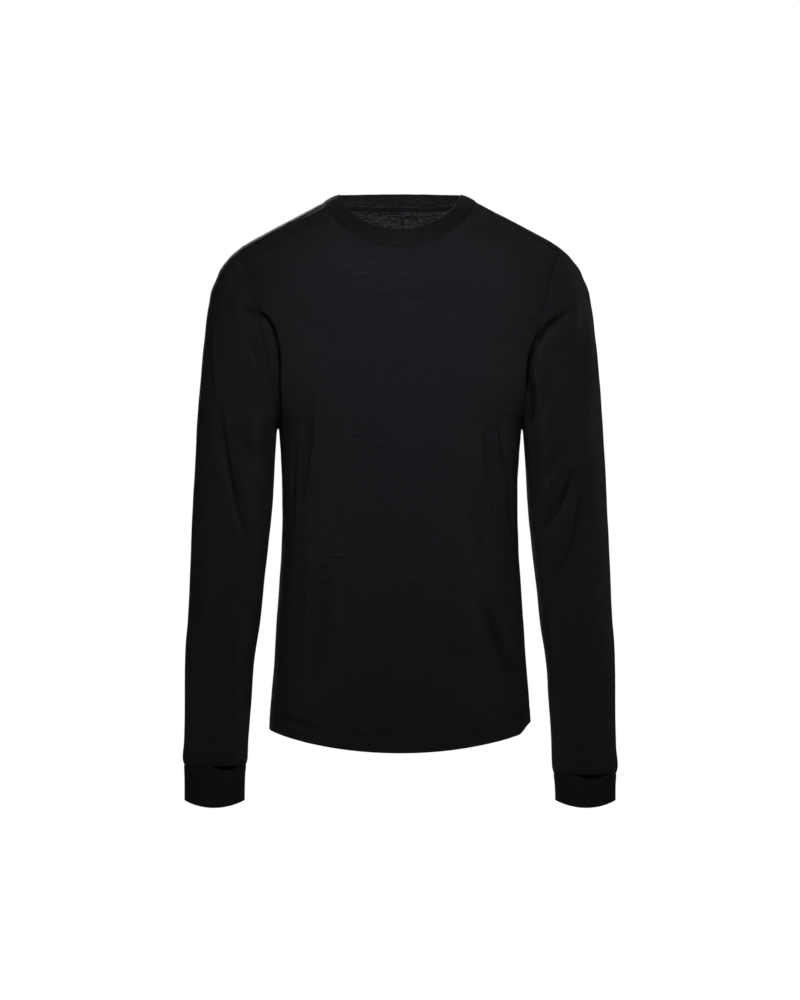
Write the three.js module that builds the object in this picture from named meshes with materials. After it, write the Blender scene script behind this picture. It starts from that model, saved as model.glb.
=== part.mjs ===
import * as THREE from 'three'

// A long-sleeved crew neck base layer top, hollow and filled out, in millimetres.
// +Z is up, the front faces -Y, and the origin is in the middle of the neck hole at shoulder height.
// Every piece is a grid of points on the middle of its cloth. Neighbours share the points of their seam,
// so the grids make one surface, and each piece then becomes a wall around its own grid.

// Cloth thickness and the gap between two pieces at a seam
const jersey = 1.6
const cuffCloth = 2.2
const bandCloth = 2.4
const tapeCloth = 1.0
const seamGap = 0.3
const sharpestFold = 0.6 // a wall keeps its thickness at seams down to this cosine of half their bend

// Shoulders: the top line of the garment from the neck to the sleeve, seen from the front
const shoulderLine = [
  { x: 0, z: 34 },
  { x: 40, z: 29.5 },
  { x: 79, z: 14.5 },
  { x: 100, z: 3 },
  { x: 140, z: -18 },
  { x: 170, z: -34 },
  { x: 205, z: -54 },
  { x: 250, z: -86 },
]
const shoulderRise = 105 // height over which the shoulder rounds over from its top to the chest
const squareness = 2.4 // 2 is an ellipse, more is squarer
const settleSteps = 12 // tries that bring a point's width and height into agreement

// Body sections by height: half the width, and the depth of the front and back from the side seam
const bodySections = [
  { z: -720, half: 169, front: 113, back: 122 },
  { z: -668, half: 167, front: 112, back: 121 },
  { z: -632, half: 164.5, front: 110.5, back: 119 },
  { z: -581, half: 160.6, front: 108, back: 115 },
  { z: -530, half: 157.4, front: 106, back: 110 },
  { z: -479, half: 154, front: 104.5, back: 106 },
  { z: -427, half: 151, front: 104.5, back: 104 },
  { z: -376, half: 150, front: 106, back: 106 },
  { z: -325, half: 151.7, front: 109, back: 112 },
  { z: -300, half: 153.5, front: 111, back: 115 },
  { z: -284, half: 155.2, front: 112, back: 117 },
  { z: -270, half: 161, front: 113, back: 119 },
  { z: -245, half: 174, front: 113.5, back: 121 },
  { z: -215, half: 189, front: 113.5, back: 123 },
  { z: -169, half: 200, front: 112, back: 124 },
  { z: -120, half: 213, front: 105, back: 121 },
  { z: -80, half: 230, front: 94, back: 113 },
  { z: -54, half: 246, front: 86, back: 110 },
  { z: 15, half: 250, front: 78, back: 104 },
]

// Neck: the seam of the band lies on the body, and its top edge stands inside it
const neckSeamHalf = 96
const neckSeamFrontZ = -57
const neckSeamBackZ = 6
const neckCurve = 1.35 // more makes the front of the neck rounder
const neckTopHalf = 77
const neckTopSideZ = 14
const neckTopFrontZ = -34.5
const neckTopBackZ = 19
const neckTopFrontY = -74
const neckTopBackY = 55
const bandRoll = 1.2 // how far the middle of the band stands out
const neckFade = { share: 5, down: 3 } // how fast the neck's curve dies out in the grid below it
const shoulderSeamAngle = 81 // where the shoulder seam meets the neck, from the centre front
const tapeTop = 1.4 // below the neck seam
const tapeWidth = 10
const tapeInset = 2 // the tape ends this many columns short of the shoulder seams
const tapeGap = 0.6 // to the back, whose faces between its points are not quite flat

// Armhole, from the shoulder point to the underarm, seen from the front
const shoulderPoint = { x: 205, z: -54 }
const underarm = { x: 155.2, z: -284 }
const armholeHollow = { front: 6, back: 2 } // how far it bends in towards the chest and the back

// Hem: lowest in the middle, with a small lift at the right-hand corner
const hem = { frontZ: -692, backZ: -694, sideZ: -668, half: 167, curve: 2 }
const hemCornerLift = { left: 0, right: 9 }
const hemCornerWidth = 16

// Sleeve sections along the sleeve: the outer and inner edge seen from the front, and the depths
const sleeveSections = [
  { along: 0, outerX: 205, outerZ: -54, innerX: 155.2, innerZ: -284, front: 66, back: 66, middleY: 0 },
  { along: 22, outerX: 221, outerZ: -70, innerX: 156.8, innerZ: -286, front: 66, back: 67, middleY: 0 },
  { along: 48, outerX: 234, outerZ: -93, innerX: 157.6, innerZ: -288.5, front: 67, back: 68, middleY: 0 },
  { along: 80, outerX: 243.5, outerZ: -123, innerX: 158, innerZ: -292, front: 67, back: 69, middleY: 0 },
  { along: 127, outerX: 249.7, outerZ: -170, innerX: 158.4, innerZ: -297, front: 66, back: 68, middleY: 0 },
  { along: 178, outerX: 254.7, outerZ: -221, innerX: 159, innerZ: -305, front: 64, back: 66, middleY: 1 },
  { along: 226, outerX: 258.5, outerZ: -268, innerX: 160, innerZ: -318, front: 62, back: 64, middleY: 3 },
  { along: 268, outerX: 261.2, outerZ: -310, innerX: 161.2, innerZ: -337, front: 59.5, back: 62, middleY: 5 },
  { along: 308, outerX: 263.5, outerZ: -350, innerX: 162.6, innerZ: -361, front: 57, back: 60, middleY: 7 },
  { along: 345, outerX: 265.3, outerZ: -387, innerX: 164.3, innerZ: -389, front: 54.5, back: 57.5, middleY: 8 },
  { along: 385, outerX: 267, outerZ: -427, innerX: 168, innerZ: -427, front: 51.5, back: 54, middleY: 8 },
  { along: 437, outerX: 269, outerZ: -479, innerX: 174, innerZ: -479, front: 47.5, back: 48.5, middleY: 4 },
  { along: 488, outerX: 271.4, outerZ: -530, innerX: 179.2, innerZ: -530, front: 43, back: 43.5, middleY: -2 },
  { along: 539, outerX: 274, outerZ: -581, innerX: 186.2, innerZ: -581, front: 38.5, back: 38.5, middleY: -9 },
  { along: 590, outerX: 274.2, outerZ: -632, innerX: 190, innerZ: -632, front: 34.5, back: 34, middleY: -16 },
  { along: 641, outerX: 274.8, outerZ: -683, innerX: 193.6, innerZ: -683, front: 30.5, back: 30, middleY: -23 },
  { along: 661, outerX: 276.6, outerZ: -703, innerX: 194.2, innerZ: -703, front: 29.5, back: 29, middleY: -26 },
  { along: 671, outerX: 274.4, outerZ: -713, innerX: 196.4, innerZ: -713, front: 26.5, back: 26.5, middleY: -27 },
]
const sleeveSteps = [
  0, 11, 24, 40, 60, 88, 122, 160, 198, 234, 268, 302, 338, 374, 412, 452, 494, 538, 582, 624, 652, 663, 671,
]
const armholeBlend = 130 // the armhole's own curve fades into the sleeve over this length
const wristZ = -632 // below it the sleeve stretches to its own cuff seam
const cuffSeamZ = { left: -713, right: -724 }

// Cuff: a band with a lower edge that dips at the front
const cuff = { outerX: 273.3, innerX: 198.2, depth: 24.5, middleY: -29, sideZ: -758, frontDrop: 8, backDrop: 2 }
const cuffRows = 4
const cuffHug = 3 // higher narrows the band sooner under its seam

// Thumb slit: the stretch of the cuff seam that is left open, and how far the cuff sags there.
// Its centre is an angle round the cuff: 90 is the middle of the front, and more is nearer the body.
const slits = {
  left: { centre: 114, halfAngle: 33, sag: 7 },
  right: { centre: 100, halfAngle: 40, sag: 6.5 },
}

// The largest soft folds: a trough is negative. Ends and width are seen from the front.
const folds = [
  { on: 'front', fromX: -124, fromZ: -240, toX: -122, toZ: -460, width: 17, height: -3.2 },
  { on: 'front', fromX: -98, fromZ: -300, toX: -104, toZ: -520, width: 20, height: 2.2 },
  { on: 'front', fromX: 100, fromZ: -235, toX: 150, toZ: -470, width: 17, height: -3.4 },
  { on: 'front', fromX: 88, fromZ: -490, toX: 146, toZ: -606, width: 19, height: -3 },
  { on: 'front', fromX: 40, fromZ: -610, toX: 130, toZ: -655, width: 16, height: 1.8 },
  { on: 'back', fromX: -120, fromZ: -230, toX: -96, toZ: -470, width: 20, height: -3.6 },
  { on: 'back', fromX: 122, fromZ: -220, toX: 88, toZ: -440, width: 20, height: -3.6 },
  { on: 'back', fromX: -60, fromZ: -400, toX: -78, toZ: -620, width: 22, height: 2.6 },
  { on: 'back', fromX: 52, fromZ: -420, toX: 84, toZ: -610, width: 22, height: 2.6 },
  { on: 'sleeve_left', fromX: -236, fromZ: -190, toX: -196, toZ: -440, width: 13, height: -3.6 },
  { on: 'sleeve_left', fromX: -212, fromZ: -430, toX: -250, toZ: -560, width: 15, height: 2 },
  { on: 'sleeve_right', fromX: 246, fromZ: -170, toX: 190, toZ: -425, width: 13, height: -3.6 },
  { on: 'sleeve_right', fromX: 208, fromZ: -440, toX: 246, toZ: -590, width: 15, height: 2 },
]

// How finely each piece is divided
const sleeveAround = 18
const seamStation = 1 // the shoulder seam meets the sleeve this many stations forward of its top
const shoulderColumns = 6
const neckColumns = { front: 14, back: 16 }
const sideRows = 14
const sectionSteps = 36
const neckSteps = 60

const radians = THREE.MathUtils.degToRad
const sinPower = (angle, power) => Math.pow(Math.max(Math.sin(angle), 0), power)

// A smooth curve through one column of a table, which never overshoots its rows
function smoothColumn(table, across, column) {
  const rows = [...table].sort((a, b) => a[across] - b[across])
  const at = rows.map((row) => row[across])
  const value = rows.map((row) => row[column])
  const rise = at.slice(1).map((_, i) => (value[i + 1] - value[i]) / (at[i + 1] - at[i]))
  const slope = value.map((_, i) => {
    if (i === 0) return rise[0]
    if (i === rise.length) return rise[i - 1]
    const sameWay = rise[i - 1] * rise[i] > 0
    return sameWay ? (2 * rise[i - 1] * rise[i]) / (rise[i - 1] + rise[i]) : 0
  })
  return (place) => {
    const inside = THREE.MathUtils.clamp(place, at[0], at[at.length - 1])
    let i = 0
    while (i < rise.length - 1 && inside > at[i + 1]) i += 1
    const width = at[i + 1] - at[i]
    const t = (inside - at[i]) / width
    const low = value[i] + t * width * slope[i]
    const high = value[i + 1] - (1 - t) * width * slope[i + 1]
    const ease = t * t * (3 - 2 * t)
    return low * (1 - ease) + high * ease
  }
}

const shoulderHeight = smoothColumn(shoulderLine, 'x', 'z')
const bodyHalf = smoothColumn(bodySections, 'z', 'half')
const bodyDepth = {
  front: smoothColumn(bodySections, 'z', 'front'),
  back: smoothColumn(bodySections, 'z', 'back'),
}
const facing = { front: -1, back: 1 }
const otherSide = { front: 'back', back: 'front' }

// Quarter of a body section from the centre to the side, with the length run so far at each step
function quarterSection(z, side) {
  const half = bodyHalf(z)
  const depth = bodyDepth[side](z)
  const points = []
  let run = 0
  for (let i = 0; i <= sectionSteps; i += 1) {
    const angle = (i / sectionSteps) * (Math.PI / 2)
    const x = half * sinPower(angle, 2 / squareness)
    const y = depth * sinPower(Math.PI / 2 - angle, 2 / squareness)
    if (i > 0) run += Math.hypot(x - points[i - 1].x, y - points[i - 1].y)
    points.push({ x, y, run })
  }
  return points
}

// Where a share of the section's length lies: 0 is the centre and 1 the side
function onSection(share, z, side) {
  const points = quarterSection(z, side)
  const wanted = THREE.MathUtils.clamp(share, 0, 1) * points[sectionSteps].run
  let i = 1
  while (i < sectionSteps && points[i].run < wanted) i += 1
  const t = (wanted - points[i - 1].run) / (points[i].run - points[i - 1].run)
  return {
    x: THREE.MathUtils.lerp(points[i - 1].x, points[i].x, t),
    y: THREE.MathUtils.lerp(points[i - 1].y, points[i].y, t),
  }
}

function shareOf(x, z, side) {
  const points = quarterSection(z, side)
  const wanted = Math.min(Math.abs(x), points[sectionSteps].x)
  let i = 1
  while (i < sectionSteps && points[i].x < wanted) i += 1
  const t = (wanted - points[i - 1].x) / (points[i].x - points[i - 1].x)
  return THREE.MathUtils.lerp(points[i - 1].run, points[i].run, t) / points[sectionSteps].run
}

// The way down a panel, measured from the top of the shoulder: negative lies over on the other side
const quarterTurn = (shoulderRise * Math.PI) / 2
function dropOf(down) {
  const way = Math.abs(down)
  if (way >= quarterTurn) return shoulderRise + way - quarterTurn
  return shoulderRise * (1 - Math.cos(way / shoulderRise))
}
function downOf(x, z) {
  const drop = Math.max(shoulderHeight(Math.abs(x)) - z, 0)
  if (drop >= shoulderRise) return quarterTurn + drop - shoulderRise
  return shoulderRise * Math.acos(1 - drop / shoulderRise)
}

// The length from the first point to each point
function runAlong(points) {
  const run = [0]
  for (let i = 1; i < points.length; i += 1) run.push(run[i - 1] + points[i].distanceTo(points[i - 1]))
  return run
}

// A point of the body by its share of the section and its way down
function bodyPoint(share, down, side) {
  const facingSide = down < 0 ? otherSide[side] : side
  const drop = dropOf(down)
  const roundOver = Math.sin(Math.min(Math.abs(down), quarterTurn) / shoulderRise)
  let place = { x: share * underarm.x, y: 0 }
  let z = 0
  for (let i = 0; i < settleSteps; i += 1) {
    z = shoulderHeight(place.x) - drop
    place = onSection(share, z, facingSide)
  }
  return new THREE.Vector3(place.x, facing[facingSide] * place.y * roundOver, z)
}

const surfacePlace = (x, z, side) => ({ share: shareOf(x, z, side), down: downOf(x, z) })

// Neck seam by its angle from the centre front, as a place on the front or back of the body
function neckSeamPlace(degrees, side) {
  const angle = radians(degrees)
  const x = neckSeamHalf * Math.sin(angle)
  const sideZ = shoulderHeight(neckSeamHalf)
  const onFront = degrees <= 90
  const dip = Math.pow(Math.abs(Math.cos(angle)), neckCurve)
  const z = THREE.MathUtils.lerp(sideZ, onFront ? neckSeamFrontZ : neckSeamBackZ, dip)
  const place = surfacePlace(x, z, onFront ? 'front' : 'back')
  const onOwnSide = onFront === (side === 'front')
  return { share: place.share, down: onOwnSide ? place.down : -place.down }
}

// The angles that divide one half of the neck seam into equal lengths, from the centre to the shoulder seam
function neckAngles(side) {
  const start = side === 'front' ? 0 : 180
  const fine = Array.from({ length: neckSteps + 1 }, (_, i) =>
    THREE.MathUtils.lerp(start, shoulderSeamAngle, i / neckSteps)
  )
  const points = fine.map((degrees) => {
    const place = neckSeamPlace(degrees, side)
    return bodyPoint(place.share, place.down, side)
  })
  const run = runAlong(points)
  const columns = neckColumns[side] / 2
  return Array.from({ length: columns + 1 }, (_, i) => {
    const wanted = (run[neckSteps] * i) / columns
    let k = 1
    while (k < neckSteps && run[k] < wanted) k += 1
    return THREE.MathUtils.lerp(fine[k - 1], fine[k], (wanted - run[k - 1]) / (run[k] - run[k - 1]))
  })
}

// Armhole by its angle round the sleeve: 0 is the top, 180 the underarm
function armholePlace(degrees, side) {
  const front = degrees > 0
  const angle = Math.abs(radians(degrees))
  const level = (1 + Math.cos(angle)) / 2
  const hollow = armholeHollow[front ? 'front' : 'back'] * Math.pow(Math.sin(angle), 2)
  const x = THREE.MathUtils.lerp(underarm.x, shoulderPoint.x, level) - hollow
  const z = THREE.MathUtils.lerp(underarm.z, shoulderPoint.z, level)
  const place = surfacePlace(x, Math.min(z, shoulderHeight(x)), front ? 'front' : 'back')
  const onOwnSide = front === (side === 'front')
  return { share: place.share, down: onOwnSide ? place.down : -place.down }
}

function hemHeight(share, side, hand) {
  const lowest = side === 'front' ? hem.frontZ : hem.backZ
  const x = onSection(share, lowest, side).x
  const rise = (hem.sideZ - lowest) * Math.pow(x / hem.half, hem.curve)
  const corner = THREE.MathUtils.smoothstep(x, hem.half - hemCornerWidth, hem.half)
  return lowest + rise + hemCornerLift[hand] * corner
}

// One half of a body panel, from the centre to the side: a grid of places between its four edges
function halfPanel(side, hand) {
  const step = 360 / sleeveAround
  const seamDegrees = seamStation * step
  const stations = side === 'front' ? sleeveAround / 2 - seamStation : sleeveAround / 2 + seamStation
  const turn = side === 'front' ? step : -step
  const edge = []
  for (let i = 0; i <= stations; i += 1) edge.push(armholePlace(seamDegrees + turn * i, side))
  edge[stations] = { share: 1, down: downOf(underarm.x, underarm.z) }
  for (let i = 1; i <= sideRows; i += 1) {
    const z = THREE.MathUtils.lerp(underarm.z, hemHeight(1, side, hand), i / sideRows)
    edge.push({ share: 1, down: downOf(bodyHalf(z), z) })
  }
  const wayDown = edge[edge.length - 1].down - edge[0].down
  const rowShare = edge.map((place) => (place.down - edge[0].down) / wayDown)

  const top = neckAngles(side).map((degrees) => neckSeamPlace(degrees, side))
  const neckPoint = top[top.length - 1]
  for (let i = 1; i <= shoulderColumns; i += 1) {
    const t = i / shoulderColumns
    top.push({
      share: THREE.MathUtils.lerp(neckPoint.share, edge[0].share, t),
      down: THREE.MathUtils.lerp(neckPoint.down, edge[0].down, t),
    })
  }
  const topPoints = top.map((place) => bodyPoint(place.share, place.down, side))
  const run = runAlong(topPoints)
  const columnShare = run.map((length) => length / run[run.length - 1])

  const bottom = columnShare.map((share) => {
    const z = hemHeight(share, side, hand)
    return { share, down: downOf(onSection(share, z, side).x, z) }
  })
  const centreTop = top[0].down
  const centreBottom = bottom[0].down
  const blend = (key, u, v, r, c) => {
    const centre = key === 'share' ? 0 : THREE.MathUtils.lerp(centreTop, centreBottom, v)
    const upper = (1 - u) * top[0][key] + u * edge[0][key]
    const lower = (1 - u) * bottom[0][key] + u * edge[edge.length - 1][key]
    const fromTop = (top[c][key] - upper) * Math.pow(1 - v, neckFade[key])
    return (1 - u) * centre + u * edge[r][key] + fromTop + (bottom[c][key] - lower) * v
  }
  return edge.map((_, r) =>
    top.map((__, c) => {
      const u = columnShare[c]
      const v = rowShare[r]
      return bodyPoint(blend('share', u, v, r, c), blend('down', u, v, r, c), side)
    })
  )
}

const mirrored = (point) => new THREE.Vector3(-point.x, point.y, point.z)

// A whole body panel, from the left side to the right side
function bodyPanel(side) {
  const left = halfPanel(side, 'left')
  const right = halfPanel(side, 'right')
  return right.map((row, r) => [...left[r].slice(1).reverse().map(mirrored), ...row])
}

// Points at equal angles round the sleeve; the first ring is the armhole itself
function armholeRing(panels, hand) {
  const columnOf = (row) => (hand === 'left' ? row[0] : row[row.length - 1])
  const ring = []
  const half = sleeveAround / 2
  for (let k = 0; k < sleeveAround; k += 1) {
    const onFront = k >= seamStation && k <= half
    const row = onFront ? k - seamStation : k < seamStation ? seamStation - k : sleeveAround - k + seamStation
    ring.push(columnOf(panels[onFront ? 'front' : 'back'][row]).clone())
  }
  return ring
}

const sleeveColumns = ['outerX', 'outerZ', 'innerX', 'innerZ', 'front', 'back', 'middleY']
const sleeveShape = {}
for (const column of sleeveColumns) {
  sleeveShape[column] = smoothColumn(sleeveSections, 'along', column)
}

function oval(size, degrees) {
  const angle = radians(degrees)
  const reach = Math.cos(angle)
  const depth = Math.sin(angle) > 0 ? size.front : size.back
  return new THREE.Vector3(
    (size.outerX + size.innerX) / 2 + (reach * (size.outerX - size.innerX)) / 2,
    size.middleY - depth * Math.sin(angle),
    (size.outerZ + size.innerZ) / 2 + (reach * (size.outerZ - size.innerZ)) / 2
  )
}

function sleeveSize(along, hand) {
  const size = {}
  for (const column of sleeveColumns) size[column] = sleeveShape[column](along)
  const stretch = (cuffSeamZ[hand] - wristZ) / (cuffSeamZ.left - wristZ)
  for (const edge of ['outerZ', 'innerZ']) {
    if (size[edge] < wristZ) size[edge] = wristZ + (size[edge] - wristZ) * stretch
  }
  return size
}

function sleeveRings(panels, hand) {
  const armhole = armholeRing(panels, hand).map((point) => (hand === 'left' ? mirrored(point) : point))
  const start = sleeveSize(0, hand)
  const rings = sleeveSteps.map((along) => {
    const size = sleeveSize(along, hand)
    const keep = 1 - THREE.MathUtils.smoothstep(along, 0, armholeBlend)
    return armhole.map((point, k) => {
      const degrees = (360 / sleeveAround) * k
      const own = oval(size, degrees)
      return own.addScaledVector(point.clone().sub(oval(start, degrees)), keep)
    })
  })
  return hand === 'left' ? rings.map((ring) => ring.map(mirrored)) : rings
}

function cuffRings(rings, hand) {
  const seam = rings[rings.length - 1]
  const sign = hand === 'left' ? -1 : 1
  const slit = slits[hand]
  const grid = []
  for (let i = 0; i <= cuffRows; i += 1) {
    const t = i / cuffRows
    grid.push(
      seam.map((point, k) => {
        const degrees = (360 / sleeveAround) * k
        const across = Math.sin(radians(degrees))
        const dip = (across > 0 ? cuff.frontDrop : cuff.backDrop) * across * across
        const size = { ...cuff, front: cuff.depth, back: cuff.depth, outerZ: cuff.sideZ, innerZ: cuff.sideZ }
        const low = oval(size, degrees)
        low.x *= sign
        low.z -= dip
        const fromSlit = Math.abs(degrees - slit.centre) / slit.halfAngle
        const open = fromSlit < 1 ? slit.sag * Math.cos((fromSlit * Math.PI) / 2) : 0
        const high = point.clone()
        high.z -= open
        const hug = 1 - Math.pow(1 - t, cuffHug)
        return new THREE.Vector3(
          THREE.MathUtils.lerp(high.x, low.x, hug),
          THREE.MathUtils.lerp(high.y, low.y, hug),
          THREE.MathUtils.lerp(high.z, low.z, t)
        )
      })
    )
  }
  return grid
}

// The band's top edge by its angle from the centre front
function neckTopPoint(degrees) {
  const angle = radians(degrees)
  const forward = Math.cos(angle)
  const middleY = (neckTopFrontY + neckTopBackY) / 2
  const halfY = (neckTopBackY - neckTopFrontY) / 2
  const dip = Math.pow(Math.abs(forward), neckCurve)
  const z = THREE.MathUtils.lerp(neckTopSideZ, forward > 0 ? neckTopFrontZ : neckTopBackZ, dip)
  return new THREE.Vector3(neckTopHalf * Math.sin(angle), middleY * forward * forward - halfY * forward, z)
}

function neckbandRings(panels) {
  const frontRow = panels.front[0].slice(shoulderColumns, -shoulderColumns)
  const backRow = panels.back[0].slice(shoulderColumns, -shoulderColumns).reverse()
  const seam = [...frontRow.slice(0, -1), ...backRow.slice(0, -1)]
  const frontAngles = neckAngles('front')
  const backAngles = neckAngles('back').reverse()
  const rightAngles = [...frontAngles, ...backAngles.slice(1)]
  const leftAngles = rightAngles.slice(1, -1).reverse().map((degrees) => -degrees)
  const fromLeft = leftAngles.slice(-neckColumns.front / 2)
  const toLeft = leftAngles.slice(0, -neckColumns.front / 2)
  const top = [...fromLeft, ...rightAngles, ...toLeft].map(neckTopPoint)
  const middle = seam.map((point, i) => {
    const centre = point.clone().add(top[i]).multiplyScalar(0.5)
    const out = new THREE.Vector3(centre.x, centre.y, neckTopHalf).normalize()
    return centre.addScaledVector(out, bandRoll)
  })
  return [top, middle, seam.map((point) => point.clone())]
}

// The tape over the back neck seam, on the inside: the back's own points, moved in
function tapeGrid(back) {
  const inward = jersey / 2 + tapeGap + tapeCloth / 2
  const first = shoulderColumns + tapeInset
  const last = shoulderColumns + neckColumns.back - tapeInset
  return [tapeTop, tapeWidth].map((below) =>
    back.knots[0].slice(first, last + 1).map((upper, i) => {
      const lower = back.knots[1][first + i]
      const t = below / upper.point.distanceTo(lower.point)
      const normal = upper.normal.clone().lerp(lower.normal, t)
      return upper.point.clone().lerp(lower.point, t).addScaledVector(normal, -inward)
    })
  )
}

// A soft fold lifts or lowers the cloth beside a straight line, and fades at both ends
function foldHeight(point, name) {
  let height = 0
  for (const fold of folds) {
    if (fold.on !== name) continue
    if (name.startsWith('sleeve') && point.y > 0) continue
    const lengthX = fold.toX - fold.fromX
    const lengthZ = fold.toZ - fold.fromZ
    const length = Math.hypot(lengthX, lengthZ)
    const along = ((point.x - fold.fromX) * lengthX + (point.z - fold.fromZ) * lengthZ) / (length * length)
    if (along <= 0 || along >= 1) continue
    const aside = ((point.x - fold.fromX) * lengthZ - (point.z - fold.fromZ) * lengthX) / length
    height += fold.height * Math.exp(-Math.pow(aside / fold.width, 2)) * Math.sqrt(Math.sin(along * Math.PI))
  }
  return height
}

// One surface out of all the grids: points of a seam count once, and every face adds to their normals
const keyOf = (point) => [point.x, point.y, point.z].map((value) => value.toFixed(2)).join(' ')

function faceLoops(piece) {
  const { grid, wraps } = piece
  const width = grid[0].length
  const loops = []
  for (let r = 0; r < grid.length - 1; r += 1) {
    for (let c = 0; c < (wraps ? width : width - 1); c += 1) {
      loops.push([r, c, r + 1, c, r + 1, (c + 1) % width, r, (c + 1) % width])
    }
  }
  return loops
}

function joinSurface(pieces) {
  const knots = new Map()
  for (const piece of pieces) {
    const seen = new Set()
    piece.knots = piece.grid.map((row) =>
      row.map((point) => {
        const key = keyOf(point)
        if (!knots.has(key)) knots.set(key, { point: point.clone(), pieces: 0 })
        if (!seen.has(key)) knots.get(key).pieces += 1
        seen.add(key)
        return knots.get(key)
      })
    )
  }
  return [...knots.values()]
}

function addNormals(pieces, knots) {
  for (const knot of knots) knot.sides = {}
  for (const piece of pieces) {
    const faces = faceLoops(piece).map(([r0, c0, r1, c1, r2, c2, r3, c3]) => {
      const corners = [piece.knots[r0][c0], piece.knots[r1][c1], piece.knots[r2][c2], piece.knots[r3][c3]]
      const one = corners[2].point.clone().sub(corners[0].point)
      const two = corners[3].point.clone().sub(corners[1].point)
      return { corners, row: r0, normal: one.cross(two).multiplyScalar(0.5) }
    })
    const middles = piece.knots.map((row) => {
      const sum = row.reduce((total, knot) => total.add(knot.point), new THREE.Vector3())
      return sum.divideScalar(row.length)
    })
    const outward = faces.reduce(
      (sum, face) => sum + face.corners[0].point.clone().sub(middles[face.row]).dot(face.normal),
      0
    )
    piece.turned = outward < 0
    for (const face of faces) {
      for (const knot of face.corners) {
        knot.sides[piece.tube] ??= new THREE.Vector3()
        knot.sides[piece.tube].addScaledVector(face.normal, piece.turned ? -1 : 1)
      }
    }
  }
  // At a seam of two tubes each has the same say, so neither wall turns over in a sharp fold
  for (const knot of knots) {
    const sides = Object.values(knot.sides).map((side) => side.normalize())
    knot.normal = sides.reduce((sum, side) => sum.add(side), new THREE.Vector3()).normalize()
    knot.reach = 1 / Math.max(knot.normal.dot(sides[sides.length - 1]), sharpestFold)
  }
}

// The step from a seam into the piece, square to the seam and lying in the cloth
function seamStep(piece, r, c) {
  const { knots, seams, wraps } = piece
  const last = knots.length - 1
  const width = knots[0].length
  const here = knots[r][c]
  const step = new THREE.Vector3()
  const addStep = (before, after, inner) => {
    const along = after.point.clone().sub(before.point)
    const aside = along.cross(here.normal).normalize()
    const toInner = inner.point.clone().sub(here.point)
    step.addScaledVector(aside, aside.dot(toInner) < 0 ? -1 : 1)
  }
  const left = wraps ? (c + width - 1) % width : Math.max(c - 1, 0)
  const right = wraps ? (c + 1) % width : Math.min(c + 1, width - 1)
  if (r === 0 && seams.top) addStep(knots[0][left], knots[0][right], knots[1][c])
  if (r === last && seams.bottom) addStep(knots[last][left], knots[last][right], knots[last - 1][c])
  if (c === 0 && seams.sides) {
    addStep(knots[Math.max(r - 1, 0)][c], knots[Math.min(r + 1, last)][c], knots[r][c + 1])
  }
  if (c === width - 1 && seams.sides) {
    addStep(knots[Math.max(r - 1, 0)][c], knots[Math.min(r + 1, last)][c], knots[r][c - 1])
  }
  return step.multiplyScalar(seamGap / 2)
}

// A piece's wall: its grid moved out and in by half the cloth, closed along its edges
function wallGeometry(piece) {
  const { knots, wraps, turned, thick } = piece
  const height = knots.length
  const width = knots[0].length
  const positions = []
  for (const side of [1, -1]) {
    for (let r = 0; r < height; r += 1) {
      for (let c = 0; c < width; c += 1) {
        const knot = knots[r][c]
        const point = knot.point.clone().addScaledVector(knot.normal, (side * thick * knot.reach) / 2)
        point.add(seamStep(piece, r, c))
        positions.push(point.x, point.y, point.z)
      }
    }
  }
  const outer = (r, c) => r * width + (c % width)
  const inner = (r, c) => height * width + outer(r, c)
  const corner = (index) => new THREE.Vector3().fromArray(positions, index * 3)
  const triangles = []
  const quad = (a, b, c, d) => {
    const loop = turned ? [d, c, b, a] : [a, b, c, d]
    const first = corner(loop[0]).distanceTo(corner(loop[2]))
    const second = corner(loop[1]).distanceTo(corner(loop[3]))
    const turn = first <= second ? loop : [...loop.slice(1), loop[0]]
    triangles.push(turn[0], turn[1], turn[2], turn[0], turn[2], turn[3])
  }
  const across = wraps ? width : width - 1
  for (let r = 0; r < height - 1; r += 1) {
    for (let c = 0; c < across; c += 1) {
      quad(outer(r, c), outer(r + 1, c), outer(r + 1, c + 1), outer(r, c + 1))
      quad(inner(r, c + 1), inner(r + 1, c + 1), inner(r + 1, c), inner(r, c))
    }
  }
  for (let c = 0; c < across; c += 1) {
    quad(outer(0, c + 1), inner(0, c + 1), inner(0, c), outer(0, c))
    quad(outer(height - 1, c), inner(height - 1, c), inner(height - 1, c + 1), outer(height - 1, c + 1))
  }
  if (!wraps) {
    for (let r = 0; r < height - 1; r += 1) {
      quad(outer(r, 0), inner(r, 0), inner(r + 1, 0), outer(r + 1, 0))
      quad(outer(r + 1, width - 1), inner(r + 1, width - 1), inner(r, width - 1), outer(r, width - 1))
    }
  }
  const geometry = new THREE.BufferGeometry()
  geometry.setAttribute('position', new THREE.Float32BufferAttribute(positions, 3))
  geometry.setIndex(triangles)
  geometry.computeVertexNormals()
  return geometry
}

// Materials
const blackJersey = () => new THREE.MeshStandardMaterial({ color: 0x17171b, roughness: 0.85, metalness: 0 })
const blackRib = () => new THREE.MeshStandardMaterial({ color: 0x141418, roughness: 0.88, metalness: 0 })
const blackTape = () => new THREE.MeshStandardMaterial({ color: 0x101013, roughness: 0.7, metalness: 0 })

// The pieces, cut in the order that they are sewn
const panels = { front: bodyPanel('front'), back: bodyPanel('back') }
const sleeves = { left: sleeveRings(panels, 'left'), right: sleeveRings(panels, 'right') }
const bodySeams = { top: true, bottom: false, sides: true }
const ringSeams = { top: true, bottom: true, sides: false }
const openBelow = { top: true, bottom: false, sides: false }
const openAbove = { top: false, bottom: true, sides: false }

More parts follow.
